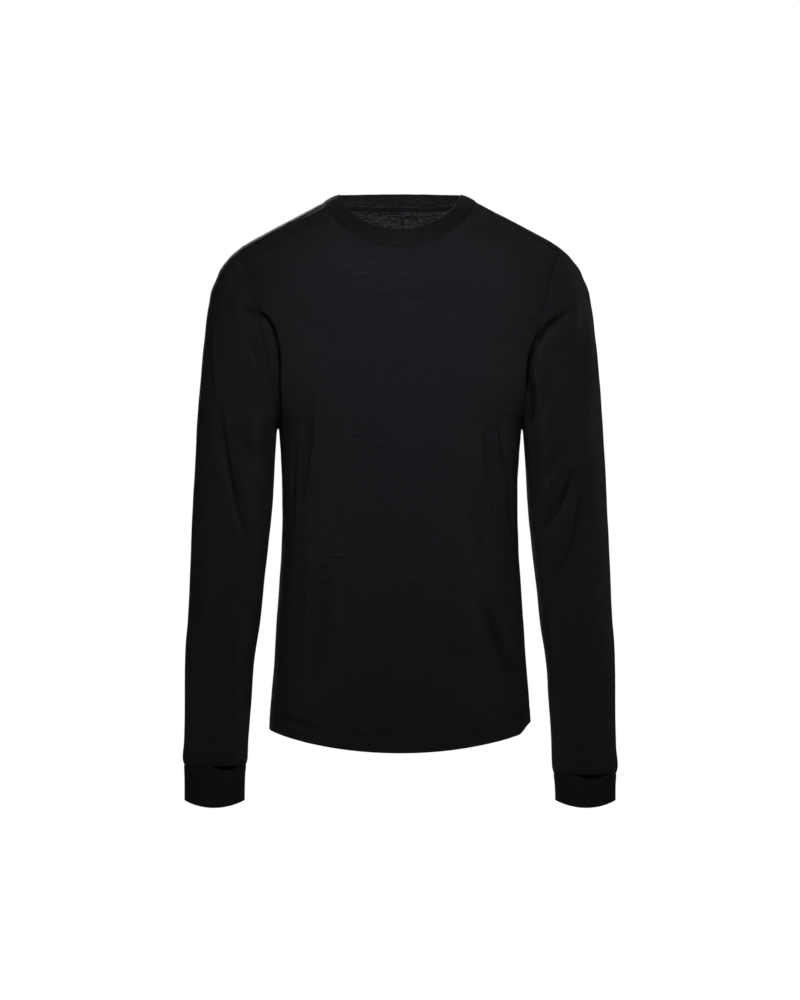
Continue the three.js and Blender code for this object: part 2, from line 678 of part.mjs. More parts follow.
const bodyCloth = { tube: 'body', thick: jersey, seams: bodySeams, material: blackJersey() }
const sleeveCloth = { tube: 'sleeve', thick: jersey, seams: ringSeams, wraps: true, material: blackJersey() }
const cuffBand = { tube: 'cuff', thick: cuffCloth, seams: openBelow, wraps: true, material: blackRib() }
const neckRib = { tube: 'band', thick: bandCloth, seams: openAbove, wraps: true, material: blackRib() }

const sewn = [
  { ...bodyCloth, name: 'front', grid: panels.front },
  { ...bodyCloth, name: 'back', grid: panels.back },
]
for (const hand of ['left', 'right']) {
  const sleeve = sleeves[hand]
  sewn.push({ ...sleeveCloth, name: `sleeve_${hand}`, grid: sleeve })
  sewn.push({ ...cuffBand, name: `cuff_${hand}`, grid: cuffRings(sleeve, hand) })
}
sewn.push({ ...neckRib, name: 'neckband', grid: neckbandRings(panels) })

const knots = joinSurface(sewn)
addNormals(sewn, knots)
for (const piece of sewn) {
  for (const knot of piece.knots.flat()) {
    if (knot.pieces === 1) knot.point.addScaledVector(knot.normal, foldHeight(knot.point, piece.name))
  }
}
addNormals(sewn, knots)

const noSeams = { top: false, bottom: false, sides: false }
const tape = {
  name: 'neck_tape',
  tube: 'tape',
  grid: tapeGrid(sewn[1]),
  thick: tapeCloth,
  seams: noSeams,
  material: blackTape(),
}
addNormals([tape], joinSurface([tape]))

const group = new THREE.Group()
group.name = 'base_layer_top'
for (const piece of [...sewn, tape]) {
  const mesh = new THREE.Mesh(wallGeometry(piece), piece.material)
  mesh.name = piece.name
  group.add(mesh)
}

export default group
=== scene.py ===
import math

import bpy
import numpy as np
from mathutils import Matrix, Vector, noise


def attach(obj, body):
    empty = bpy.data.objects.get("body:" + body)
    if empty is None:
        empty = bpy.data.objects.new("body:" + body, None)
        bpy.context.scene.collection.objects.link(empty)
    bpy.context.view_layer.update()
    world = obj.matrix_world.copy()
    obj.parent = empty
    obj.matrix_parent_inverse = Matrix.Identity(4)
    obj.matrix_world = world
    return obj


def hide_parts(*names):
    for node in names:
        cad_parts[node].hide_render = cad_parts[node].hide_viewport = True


# A long-sleeved crew neck base layer top, filled out with no wearer.
# Tables and sizes are in millimetres, seen from the front; meshes are made in metres.
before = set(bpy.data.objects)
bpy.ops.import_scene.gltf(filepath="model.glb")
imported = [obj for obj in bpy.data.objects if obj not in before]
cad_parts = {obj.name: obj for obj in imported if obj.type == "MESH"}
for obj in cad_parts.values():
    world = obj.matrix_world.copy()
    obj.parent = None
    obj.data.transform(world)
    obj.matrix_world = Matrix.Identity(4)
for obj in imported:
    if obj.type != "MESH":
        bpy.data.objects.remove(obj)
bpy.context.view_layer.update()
print("frame loaded:", ", ".join(sorted(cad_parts)))

mm = 0.001
finer = 7        # how many times finer the cloth is divided than the frame's own pieces
tiny = 1e-9      # the least that anything is divided by
facing = {"front": -1, "back": 1}
otherSide = {"front": "back", "back": "front"}


def addObject(name, data):
    made = bpy.data.objects.new(name, data)
    bpy.context.scene.collection.objects.link(made)
    return made


# Camera: level, straight on to the front
camera = {"distance": 5.0, "height": -0.376, "fieldHigh": 1.28, "sensor": 36}

cameraData = bpy.data.cameras.new("camera")
cameraData.sensor_fit = "VERTICAL"
cameraData.sensor_height = camera["sensor"]
cameraData.sensor_width = camera["sensor"]
cameraData.lens = camera["sensor"] * camera["distance"] / camera["fieldHigh"]
cameraObject = addObject("camera", cameraData)
cameraObject.location = (0, -camera["distance"], camera["height"])
cameraObject.rotation_euler = (math.radians(90), 0, 0)
bpy.context.scene.camera = cameraObject
print("camera set")

# The torso's form: the shoulder line, and sections by height
torso = {
    "shoulderRise": 105,     # height over which the shoulder rounds over
    "squareness": 2.4,       # 2 is an ellipse, more is squarer
    "sectionSteps": 90,
    "settleSteps": 12,
}
shoulderLine = {
    "columns": ("x", "z"),
    "rows": [(0, 34), (40, 29.5), (79, 14.5), (100, 3), (140, -18), (170, -34), (205, -54), (250, -86)],
}
bodySections = {
    "columns": ("z", "half", "front", "back"),
    "rows": [
        (-720, 169, 113, 122),
        (-668, 167, 112, 121),
        (-632, 164.5, 110.5, 119),
        (-581, 160.6, 108, 115),
        (-530, 157.4, 106, 110),
        (-479, 154, 104.5, 106),
        (-427, 151, 104.5, 104),
        (-376, 150, 106, 106),
        (-325, 151.7, 109, 112),
        (-300, 153.5, 111, 115),
        (-284, 155.2, 112, 117),
        (-270, 161, 113, 119),
        (-245, 174, 113.5, 121),
        (-215, 189, 113.5, 123),
        (-169, 200, 112, 124),
        (-120, 213, 105, 121),
        (-80, 230, 94, 113),
        (-54, 246, 86, 110),
        (15, 250, 78, 104),
    ],
}
armhole = {
    "shoulderX": 205,
    "shoulderZ": -54,
    "underarmX": 155.2,
    "underarmZ": -284,
    "hollowFront": 6,
    "hollowBack": 2,
    "stepDegrees": 20,       # one step of the frame's own division
    "seamDegrees": 20,       # where the shoulder seam meets the sleeve
}
neck = {
    "seamHalf": 96,
    "seamFrontZ": -57,
    "seamBackZ": 6,
    "curve": 1.35,
    "topHalf": 77,
    "topSideZ": 14,
    "topFrontZ": -34.5,
    "topBackZ": 19,
    "topFrontY": -74,
    "topBackY": 55,
    "roll": 1.2,
    "shoulderSeamAngle": 81,
    "frontColumns": 7,
    "backColumns": 8,
    "fadeShare": 5,          # how fast the neck's curve fades down the panel
    "fadeDown": 3,
    "samples": 241,          # points that measure half the seam
}
panelCut = {"shoulderColumns": 6, "sideRows": 14, "cloth": 1.0}
hem = {
    "frontZ": -692,
    "backZ": -694,
    "sideZ": -668,
    "half": 167,
    "curve": 2,
    "liftLeft": 0,
    "liftRight": 9,
    "liftWidth": 16,
}


def mix(a, b, t):
    return a + (b - a) * t


def smoothStep(value, low, high):
    t = np.clip((value - low) / (high - low), 0, 1)
    return t * t * (3 - 2 * t)


# A smooth curve through one column of a table, which never overshoots its rows
def smoothColumn(table, across, column):
    first, second = table["columns"].index(across), table["columns"].index(column)
    rows = sorted(table["rows"], key=lambda row: row[first])
    at = np.array([row[first] for row in rows], float)
    value = np.array([row[second] for row in rows], float)
    rise = np.diff(value) / np.diff(at)
    slope = np.zeros(len(value))
    slope[0], slope[-1] = rise[0], rise[-1]
    for i in range(1, len(rise)):
        if rise[i - 1] * rise[i] > 0:
            slope[i] = 2 * rise[i - 1] * rise[i] / (rise[i - 1] + rise[i])

    def curve(place):
        inside = np.clip(place, at[0], at[-1])
        i = np.clip(np.searchsorted(at, inside) - 1, 0, len(rise) - 1)
        width = at[i + 1] - at[i]
        t = (inside - at[i]) / width
        low = value[i] + t * width * slope[i]
        high = value[i + 1] - (1 - t) * width * slope[i + 1]
        return mix(low, high, t * t * (3 - 2 * t))

    return curve


shoulderHeight = smoothColumn(shoulderLine, "x", "z")
bodyHalf = smoothColumn(bodySections, "z", "half")
bodyDepth = {side: smoothColumn(bodySections, "z", side) for side in facing}


# Quarter sections from the centre to the side, one row for each height, with the length run so far
def quarterSections(z, side):
    angle = np.linspace(0, math.pi / 2, torso["sectionSteps"] + 1)
    power = 2 / torso["squareness"]
    x = bodyHalf(z)[:, None] * np.sin(angle) ** power
    y = bodyDepth[side](z)[:, None] * np.clip(np.cos(angle), 0, 1) ** power
    step = np.hypot(np.diff(x), np.diff(y))
    run = np.concatenate([np.zeros((len(z), 1)), np.cumsum(step, axis=1)], axis=1)
    return x, y, run


# Where each row of a rising table reaches a wanted value, as a place between two columns
def reach(table, wanted):
    last = table.shape[1] - 1
    i = np.clip((table < wanted[:, None]).sum(axis=1), 1, last)
    rows = np.arange(len(wanted))
    low, high = table[rows, i - 1], table[rows, i]
    return rows, i, np.clip((wanted - low) / np.maximum(high - low, tiny), 0, 1)


def onSection(share, z, side):
    x, y, run = quarterSections(z, side)
    rows, i, t = reach(run, np.clip(share, 0, 1) * run[:, -1])
    return mix(x[rows, i - 1], x[rows, i], t), mix(y[rows, i - 1], y[rows, i], t), run[:, -1]


def shareOf(x, z, side):
    xs, _, run = quarterSections(z, side)
    rows, i, t = reach(xs, np.minimum(np.abs(x), xs[:, -1]))
    return mix(run[rows, i - 1], run[rows, i], t) / run[:, -1]


# The way down a panel from the top of the shoulder; negative lies over on the other side
quarterTurn = torso["shoulderRise"] * math.pi / 2


def dropOf(down):
    way = np.abs(down)
    rise = torso["shoulderRise"]
    rounded = rise * (1 - np.cos(np.minimum(way, quarterTurn) / rise))
    return np.where(way < quarterTurn, rounded, rise + way - quarterTurn)


def downOf(x, z):
    rise = torso["shoulderRise"]
    drop = np.maximum(shoulderHeight(np.abs(x)) - z, 0)
    rounded = rise * np.arccos(1 - np.minimum(drop, rise) / rise)
    return np.where(drop < rise, rounded, quarterTurn + drop - rise)


# Points of the body by their share of the section and their way down, with their place in the flat cloth
def bodyPoints(share, down, side):
    over = down < 0
    drop = dropOf(down)
    roundOver = np.sin(np.minimum(np.abs(down), quarterTurn) / torso["shoulderRise"])
    x = share * armhole["underarmX"]
    y = np.zeros(len(x))
    for _ in range(torso["settleSteps"]):
        z = shoulderHeight(x) - drop
        x, y, length = onSection(share, z, side)
        if over.any():
            x[over], y[over], length[over] = onSection(share[over], z[over], otherSide[side])
    forward = np.where(over, -facing[side], facing[side])
    return np.stack([x, forward * y * roundOver, z, share * length, shoulderHeight(x) - down], axis=1)


# The neck seam by the angle round it: 0 is the middle of the front and 180 of the back
def neckSeamPlace(degrees, side):
    angle = np.radians(degrees)
    x = neck["seamHalf"] * np.sin(angle)
    sideZ = shoulderHeight(neck["seamHalf"])
    onFront = degrees <= 90
    dip = np.abs(np.cos(angle)) ** neck["curve"]
    z = mix(sideZ, np.where(onFront, neck["seamFrontZ"], neck["seamBackZ"]), dip)
    share = np.where(onFront, shareOf(x, z, "front"), shareOf(x, z, "back"))
    down = downOf(x, z)
    return share, np.where(onFront == (side == "front"), down, -down)


# Length along a line of points from its start
def runAlong(points):
    steps = np.linalg.norm(np.diff(points[:, :3], axis=0), axis=1)
    return np.concatenate([[0], np.cumsum(steps)])


# The angles that divide half the neck seam into equal lengths, from the centre to the shoulder seam
def neckAngles(side):
    start = 0 if side == "front" else 180
    fine = np.linspace(start, neck["shoulderSeamAngle"], neck["samples"])
    run = runAlong(bodyPoints(*neckSeamPlace(fine, side), side))
    columns = neck[side + "Columns"] * finer
    return np.interp(np.linspace(0, run[-1], columns + 1), run, fine)


# Armhole by its angle round the sleeve: 0 is the top, 180 the underarm, and the front is positive
def armholePlace(degrees, side):
    front = degrees > 0
    angle = np.abs(np.radians(degrees))
    level = (1 + np.cos(angle)) / 2
    hollow = np.where(front, armhole["hollowFront"], armhole["hollowBack"]) * np.sin(angle) ** 2
    x = mix(armhole["underarmX"], armhole["shoulderX"], level) - hollow
    z = np.minimum(mix(armhole["underarmZ"], armhole["shoulderZ"], level), shoulderHeight(x))
    share = np.where(front, shareOf(x, z, "front"), shareOf(x, z, "back"))
    down = downOf(x, z)
    return share, np.where(front == (side == "front"), down, -down)


# The hem's curve, with its own lift at each lower corner
def hemHeight(share, side, hand):
    share = np.atleast_1d(np.asarray(share, float))
    lowest = hem[side + "Z"]
    x = onSection(share, np.full(len(share), float(lowest)), side)[0]
    rise = (hem["sideZ"] - lowest) * (x / hem["half"]) ** hem["curve"]
    corner = smoothStep(x, hem["half"] - hem["liftWidth"], hem["half"])
    return lowest + rise + hem["lift" + hand] * corner


# One half of a body panel, from the centre to the side, between its four edges
def halfPanel(side, hand):
    around = 180 - armhole["seamDegrees"] if side == "front" else 180 + armhole["seamDegrees"]
    stations = round(around / armhole["stepDegrees"]) * finer
    degrees = armhole["seamDegrees"] - facing[side] * np.arange(stations) * around / stations
    share, down = armholePlace(degrees, side)
    sideZ = np.linspace(armhole["underarmZ"], hemHeight(1, side, hand)[0], panelCut["sideRows"] * finer + 1)
    edgeShare = np.concatenate([share, np.ones(len(sideZ))])
    edgeDown = np.concatenate([down, downOf(bodyHalf(sideZ), sideZ)])
    v = ((edgeDown - edgeDown[0]) / (edgeDown[-1] - edgeDown[0]))[:, None]

    neckShare, neckDown = neckSeamPlace(neckAngles(side), side)
    t = np.linspace(0, 1, panelCut["shoulderColumns"] * finer + 1)[1:]
    topShare = np.concatenate([neckShare, mix(neckShare[-1], edgeShare[0], t)])
    topDown = np.concatenate([neckDown, mix(neckDown[-1], edgeDown[0], t)])
    run = runAlong(bodyPoints(topShare, topDown, side))
    u = run / run[-1]
    hemZ = hemHeight(u, side, hand)
    hemDown = downOf(onSection(u, hemZ, side)[0], hemZ)

    def blend(centre, top, bottom, edge, fade):
        upper = mix(top[0], edge[0], u)
        lower = mix(bottom[0], edge[-1], u)
        fromTop = (top - upper) * (1 - v) ** fade
        return (1 - u) * centre + u * edge[:, None] + fromTop + (bottom - lower) * v

    shares = blend(0, topShare, u, edgeShare, neck["fadeShare"])
    downs = blend(mix(topDown[0], hemDown[0], v), topDown, hemDown, edgeDown, neck["fadeDown"])
    return bodyPoints(shares.ravel(), downs.ravel(), side).reshape(len(v), len(u), 5)


mirror = np.array([-1, 1, 1, -1, 1])    # turns round the place across, in the cloth laid flat too


def bodyPanel(side):
    left, right = halfPanel(side, "Left"), halfPanel(side, "Right")
    return np.concatenate([left[:, :0:-1] * mirror, right], axis=1)


panels = {side: bodyPanel(side) for side in facing}
print("panels laid out:", panels["front"].shape, panels["back"].shape)

sleeve = {
    "blend": 130,            # the armhole's own curve fades into the sleeve over this length
    "wristZ": -632,
    "cuffSeamLeft": -713,
    "cuffSeamRight": -724,
    "cloth": 1.0,
}
sleeveSections = {
    "columns": ("along", "outerX", "outerZ", "innerX", "innerZ", "front", "back", "middleY"),
    "rows": [
        (0, 205, -54, 155.2, -284, 66, 66, 0),
        (22, 221, -70, 156.8, -286, 66, 67, 0),
        (48, 234, -93, 157.6, -288.5, 67, 68, 0),
        (80, 243.5, -123, 158, -292, 67, 69, 0),
        (127, 249.7, -170, 158.4, -297, 66, 68, 0),
        (178, 254.7, -221, 159, -305, 64, 66, 1),
        (226, 258.5, -268, 160, -318, 62, 64, 3),
        (268, 261.2, -310, 161.2, -337, 59.5, 62, 5),
        (308, 263.5, -350, 162.6, -361, 57, 60, 7),
        (345, 265.3, -387, 164.3, -389, 54.5, 57.5, 8),
        (385, 267, -427, 168, -427, 51.5, 54, 8),
        (437, 269, -479, 174, -479, 47.5, 48.5, 4),
        (488, 271.4, -530, 179.2, -530, 43, 43.5, -2),
        (539, 274, -581, 186.2, -581, 38.5, 38.5, -9),
        (590, 274.2, -632, 190, -632, 34.5, 34, -16),
        (641, 274.8, -683, 193.6, -683, 30.5, 30, -23),
        (661, 276.6, -703, 194.2, -703, 29.5, 29, -26),
        (671, 274.4, -713, 196.4, -713, 26.5, 26.5, -27),
    ],
}
sleeveSteps = [
    0, 11, 24, 40, 60, 88, 122, 160, 198, 234, 268, 302,
    338, 374, 412, 452, 494, 538, 582, 624, 652, 663, 671,
]
cuff = {
    "outerX": 273.3,
    "innerX": 198.2,
    "front": 24.5,
    "back": 24.5,
    "middleY": -29,
    "outerZ": -758,
    "innerZ": -758,
    "frontDrop": 8,
    "backDrop": 2,
    "rows": 14,
    "hug": 3,                # higher narrows the band sooner under its seam
    "flatDepth": 45,
    "cloth": 2.2,
}
# Thumb slit: its middle by the angle round the cuff, where 0 is the outer side and 90 the front
slit = {"centre": {"Left": 114, "Right": 80}, "halfAngle": 33, "sag": 5.6}
sleeveShape = {name: smoothColumn(sleeveSections, "along", name) for name in sleeveSections["columns"][1:]}


# Points at these angles round an oval that leans between its outer and its inner edge
def oval(size, degrees):
    angle = np.radians(degrees)
    across = np.cos(angle)
    depth = np.where(np.sin(angle) > 0, size["front"], size["back"])
    return np.stack([
        mix(size["innerX"], size["outerX"], (1 + across) / 2),
        size["middleY"] - depth * np.sin(angle),
        mix(size["innerZ"], size["outerZ"], (1 + across) / 2),
    ], axis=-1)


def sleeveSize(along, hand):
    size = {name: curve(along) for name, curve in sleeveShape.items()}
    wristZ = sleeve["wristZ"]
    stretch = (sleeve["cuffSeam" + hand] - wristZ) / (sleeve["cuffSeamLeft"] - wristZ)
    for edge in ("outerZ", "innerZ"):
        if size[edge] < wristZ:
            size[edge] = wristZ + (size[edge] - wristZ) * stretch
    return size


# The armhole's points in order round the sleeve, from the top over the front
def armholeRing(hand):
    column = 0 if hand == "Left" else -1
    front, back = panels["front"][:, column, :3], panels["back"][:, column, :3]
    seamStep = round(armhole["seamDegrees"] / armhole["stepDegrees"]) * finer
    half = 180 // armhole["stepDegrees"] * finer
    ring = [back[seamStep - k] for k in range(seamStep)]
    ring += [front[k - seamStep] for k in range(seamStep, half + 1)]
    ring += [back[2 * half - k + seamStep] for k in range(half + 1, 2 * half)]
    return np.array(ring)


# A ring's places in the flat cloth, counted both ways from its top
def flatRing(points, degrees, down):
    girth = np.linalg.norm(points - np.roll(points, 1, axis=0), axis=1).sum()
    turned = np.where(degrees < 180, degrees, degrees - 360)
    return np.stack([turned / 360 * girth, np.full(len(degrees), -down)], axis=1)


# The sleeve's rows from the armhole down, each point with its place in the flat cloth
def sleeveGrid(hand):
    sign = np.array([-1 if hand == "Left" else 1, 1, 1])
    start = armholeRing(hand) * sign
    degrees = np.arange(len(start)) * 360 / len(start)
    base = oval(sleeveSize(0, hand), degrees)
    fineSteps = np.arange((len(sleeveSteps) - 1) * finer + 1) / finer
    rows = []
    for along in np.interp(fineSteps, range(len(sleeveSteps)), sleeveSteps):
        keep = 1 - smoothStep(along, 0, sleeve["blend"])
        points = oval(sleeveSize(along, hand), degrees) + (start - base) * keep
        rows.append(np.concatenate([points * sign, flatRing(points, degrees, along)], axis=1))
    return np.array(rows)


# The cuff's rows from its seam, which sags open at the thumb slit, down to its curved edge
def cuffGrid(sleeveRows, hand):
    sign = np.array([-1 if hand == "Left" else 1, 1, 1])
    seam = sleeveRows[-1, :, :3] * sign
    degrees = np.arange(len(seam)) * 360 / len(seam)
    across = np.sin(np.radians(degrees))
    low = oval(cuff, degrees)
    low[:, 2] -= np.where(across > 0, cuff["frontDrop"], cuff["backDrop"]) * across ** 2
    fromSlit = np.minimum(np.abs(degrees - slit["centre"][hand]) / slit["halfAngle"], 1)
    high = seam.copy()
    high[:, 2] -= slit["sag"] * np.cos(fromSlit * math.pi / 2)
    rows = []
    for t in np.linspace(0, 1, cuff["rows"] + 1):
        hug = 1 - (1 - t) ** cuff["hug"]
        points = mix(high, low, np.array([hug, hug, t]))
        rows.append(np.concatenate([points * sign, flatRing(points, degrees, t * cuff["flatDepth"])], axis=1))
    return np.array(rows)


sleeves = {hand: sleeveGrid(hand) for hand in ("Left", "Right")}
cuffs = {hand: cuffGrid(sleeves[hand], hand) for hand in ("Left", "Right")}
print("sleeves and cuffs laid out:", sleeves["Left"].shape, cuffs["Left"].shape)

neckband = {
    "cloth": 2.4,
    "rows": 12,
    "flatDepth": 26,
    "crinkleSize": (14, 14, 3.6),
    "crinkleFront": 0.2,
    "crinkleBehind": 2.0,
    "crinkleFrom": 25,       # how far back the stronger crinkle starts and is full
    "crinkleTo": 48,
}


# The neckband's upper edge by the angle round it: 0 is the middle of the front
def neckTop(degrees):
    angle = np.radians(degrees)
    forward = np.cos(angle)
    middleY = (neck["topFrontY"] + neck["topBackY"]) / 2
    halfY = (neck["topBackY"] - neck["topFrontY"]) / 2
    ends = np.where(forward > 0, neck["topFrontZ"], neck["topBackZ"])
    z = mix(neck["topSideZ"], ends, np.abs(forward) ** neck["curve"])
    return np.stack([neck["topHalf"] * np.sin(angle), middleY * forward ** 2 - halfY * forward, z], axis=1)


def neckbandGrid():
    edge = panelCut["shoulderColumns"] * finer
    frontRow = panels["front"][0, edge:-edge, :3]
    backRow = panels["back"][0, edge:-edge, :3][::-1]
    seam = np.concatenate([frontRow[:-1], backRow[:-1]])
    right = np.concatenate([neckAngles("front"), neckAngles("back")[-2::-1]])
    left = -right[-2:0:-1]
    half = neck["frontColumns"] * finer
    angles = np.concatenate([left[-half:], right, left[:-half]])
    top = neckTop(angles)
    centre = (seam + top) / 2
    out = centre * [1, 1, 0] + [0, 0, neck["topHalf"]]
    out /= np.linalg.norm(out, axis=1)[:, None]
    run = runAlong(seam)
    rows = []
    for t in np.linspace(0, 1, neckband["rows"] + 1):
        points = mix(top, seam, t) + out * neck["roll"] * 4 * t * (1 - t)
        flat = np.stack([run, np.full(len(run), -t * neckband["flatDepth"])], axis=1)
        rows.append(np.concatenate([points, flat], axis=1))
    return np.array(rows)


bandGrid = neckbandGrid()
print("neckband laid out:", bandGrid.shape)


# Splits the last spans between a grid's rows into parts, for detail beside the hem
def splitLast(grid, spans, parts):
    last = len(grid) - 1
    places = []
    for i in range(last):
        count = parts if i >= last - spans else 1
        places += [i + k / count for k in range(count)]
    places = np.array(places + [last])
    low = np.minimum(places.astype(int), last - 1)
    return mix(grid[low], grid[low + 1], (places - low)[:, None, None])


def unit(vectors):
    return vectors / np.maximum(np.linalg.norm(vectors, axis=-1), tiny)[..., None]


# The way out of the cloth at each point of a piece
def gridNormals(piece):
    points = piece["grid"][:, :, :3]
    down = np.gradient(points, axis=0)
    if piece["wraps"]:
        across = np.roll(points, -1, 1) - np.roll(points, 1, 1)
    else:
        across = np.gradient(points, axis=1)
    return unit(np.cross(down, across)) * piece["outward"]


# Length down each column of a grid from its first row
def runDown(points):
    steps = np.linalg.norm(np.diff(points, axis=0), axis=2)
    return np.concatenate([np.zeros_like(steps[:1]), np.cumsum(steps, axis=0)])


hemSew = {
    "foldedUp": 20,
    "spans": 8,
    "parts": 2,
    "groove": 0.4,
    "grooveWidth": 1.3,
    "ripple": 0.4,
    "rippleReach": 9,
    "rippleSize": (4.5, 4.5, 16),
}


def asPiece(grid, wraps, outward, cloth):
    return {"grid": grid, "wraps": wraps, "outward": outward, "cloth": cloth}


pieces = {}
for side in facing:
    grid = splitLast(panels[side], hemSew["spans"], hemSew["parts"])
    pieces[side] = asPiece(grid, False, -facing[side], panelCut["cloth"])
for hand, outward in (("Left", 1), ("Right", -1)):
    pieces["sleeve_" + hand.lower()] = asPiece(sleeves[hand], True, outward, sleeve["cloth"])
    pieces["cuff_" + hand.lower()] = asPiece(cuffs[hand], True, outward, cuff["cloth"])
pieces["neckband"] = asPiece(bandGrid, True, 1, neckband["cloth"])

# Soft troughs and ridges in the cloth, by the face they lie in. Each row gives the three places
# that one runs through, across and up, then its width and its height, which is negative for a trough.
creases = {
    "front": [
        # where the sleeves fold in over the armholes
        ((-204, -133), (-177, -145), (-161, -175), 4.6, -13),
        ((-171, -156), (-160, -200), (-158, -259), 4.6, -13),
        ((-160, -223), (-158, -261), (-159, -294), 4.6, -9),
        ((221, -133), (193, -147), (177, -178), 4.6, -13),
        ((186, -159), (170, -200), (165, -255), 4.6, -13),
        ((169, -223), (164, -261), (157, -294), 4.6, -10),
        ((-196, -168), (-183, -186), (-169, -215), 7, -3.7),
        ((214, -157), (205, -178), (191, -189), 7, -3.7),
        ((-210, -120), (-220, -136), (-219, -165), 10, -2.69),
        ((230, -120), (236, -143), (230, -172), 10, -2.35),
        # along the shoulders
        ((-82, -3), (-125, -28), (-189, -56), 10, -4.37),
        ((82, -26), (128, -41), (177, -54), 9, -4.7),
        ((-102, -26), (-143, -44), (-177, -59), 9, 2.35),
        ((115, -51), (138, -56), (164, -60), 5, 2.69),
        ((-192, -72), (-177, -78), (-165, -74), 4, 2.52),
        ((180, -72), (186, -81), (193, -83), 4, 2.52),
        ((164, -97), (175, -95), (186, -90), 4, 1.85),
        # under the neckband
        ((-27, -54), (-12, -58), (5, -56), 5, 2.69),
        ((-3, -60), (5, -59), (15, -58), 4, -1.68),
        ((-51, -47), (-41, -52), (-29, -54), 4, 1.51),
        # down the sleeves
        ((-237, -148), (-236, -200), (-232, -259), 4, 3.7),
        ((-233, -253), (-221, -335), (-192, -428), 5, -9),
        ((-241, -261), (-230, -338), (-205, -422), 9, 4.03),
        ((-212, -312), (-205, -351), (-182, -387), 8, 2.69),
        ((-197, -274), (-189, -315), (-177, -338), 9, -3.02),
        ((-250, -453), (-248, -530), (-251, -620), 9, 2.35),
        ((-236, -479), (-232, -556), (-236, -632), 10, -2.35),
        ((-205, -504), (-210, -581), (-207, -658), 9, 2.02),
        ((244, -148), (243, -223), (238, -307), 4, 4.03),
        ((220, -333), (206, -376), (177, -422), 6, -9.5),
        ((229, -346), (221, -397), (198, -438), 6, 4.37),
        ((237, -328), (223, -422), (191, -479), 4.5, -7),
        ((205, -300), (195, -328), (183, -351), 8, -3.36),
        ((196, -338), (188, -364), (179, -383), 6, 2.69),
        ((243, -453), (246, -530), (248, -620), 9, 2.52),
        ((227, -504), (230, -568), (229, -645), 10, -2.35),
        ((209, -492), (207, -568), (212, -632), 9, 2.02),
        # down the body's sides
        ((-115, -230), (-119, -312), (-132, -392), 6, -4.37),
        ((-106, -238), (-110, -328), (-122, -404), 8, 3.02),
        ((-136, -294), (-137, -351), (-140, -407), 5, -3.02),
        ((-128, -307), (-131, -366), (-132, -422), 5, 2.52),
        ((-95, -448), (-92, -530), (-104, -602), 12, -4.7),
        ((-115, -428), (-116, -504), (-123, -586), 9, 2.86),
        ((-74, -402), (-72, -492), (-77, -581), 14, 2.18),
        ((105, -246), (113, -302), (115, -376), 5, -3.86),
        ((118, -241), (122, -289), (127, -340), 5, 3.02),
        ((128, -246), (132, -300), (138, -343), 5, -3.02),
        ((100, -312), (113, -379), (140, -471), 6, 3.86),
        ((87, -335), (99, -428), (115, -494), 10, -3.36),
        ((141, -300), (143, -376), (150, -453), 6, -2.86),
        ((101, -489), (127, -556), (156, -620), 6.8, -7.66),
        ((84, -507), (111, -576), (145, -643), 12, 3.7),
        ((115, -484), (138, -536), (159, -589), 8, 2.69),
        ((38, -522), (64, -561), (90, -596), 13, -2.69),
        ((67, -448), (79, -492), (97, -532), 12, 2.02),
        # above the hem
        ((-154, -648), (-137, -654), (-116, -653), 4, -2.69),
        ((-131, -668), (-115, -672), (-99, -672), 3.5, -1.85),
        ((-148, -660), (-136, -664), (-120, -664), 4, 1.68),
        ((44, -628), (52, -631), (61, -627), 3.5, -2.18),
        ((84, -649), (95, -648), (104, -643), 3.5, -3.02),
        ((41, -658), (49, -660), (56, -658), 3, -2.02),
        ((82, -667), (97, -668), (113, -667), 4, -2.18),
        ((123, -669), (132, -672), (142, -669), 4, -1.85),
        ((108, -620), (118, -626), (127, -622), 4, 1.51),
    ],
    # a guess, of the same kind as those in front
    "back": [
        ((-186, -110), (-168, -170), (-160, -250), 4.6, -8),
        ((186, -104), (170, -166), (162, -246), 4.6, -8),
        ((-120, -190), (-104, -300), (-98, -430), 7.65, -5.22),
        ((124, -200), (110, -290), (94, -420), 7.65, -5.22),
        ((-136, -260), (-128, -340), (-124, -450), 7, 3.36),
        ((138, -250), (128, -350), (122, -440), 7, 3.36),
        ((-60, -380), (-70, -480), (-88, -620), 13, 4.03),
        ((50, -400), (66, -500), (92, -610), 13, 4.03),
        ((-30, -420), (-36, -500), (-30, -600), 12, -3.36),
        ((24, -440), (34, -520), (40, -620), 11, -3.02),
        ((-60, -24), (-110, -44), (-160, -70), 11, -3.36),
        ((62, -26), (112, -46), (158, -66), 11, -3.36),
        ((-30, -60), (0, -66), (34, -58), 14, -2.35),
        ((-228, -170), (-214, -290), (-196, -400), 5.1, -6.26),
        ((-238, -240), (-230, -330), (-222, -430), 8, 3.36),
        ((-240, -440), (-226, -500), (-206, -540), 7, -4.7),
        ((-236, -520), (-240, -600), (-238, -680), 9, 2.35),
        ((232, -160), (214, -280), (192, -410), 5.1, -6.26),
        ((244, -230), (236, -330), (226, -440), 8, 3.36),
        ((244, -430), (228, -510), (204, -560), 5.95, -5.22),
        ((238, -530), (242, -600), (240, -690), 9, 2.35),
        ((-140, -650), (-120, -655), (-96, -654), 4, -2.18),
        ((84, -652), (104, -650), (126, -654), 4, -2.18),
    ],
}
creaseForm = {
    "steps": 24,
    "fade": 0.7,             # lower keeps its height nearer to its ends
    "reach": 3,              # in widths
    "leastFacing": 0.15,     # how far the cloth must turn towards the viewer to carry a place
    "search": 3,             # how near a place its point of the cloth must be
}

# Faint waves all over the cloth
undulation = [
    {"size": 62, "height": 0.7},
    {"size": 24, "height": 0.22},
]


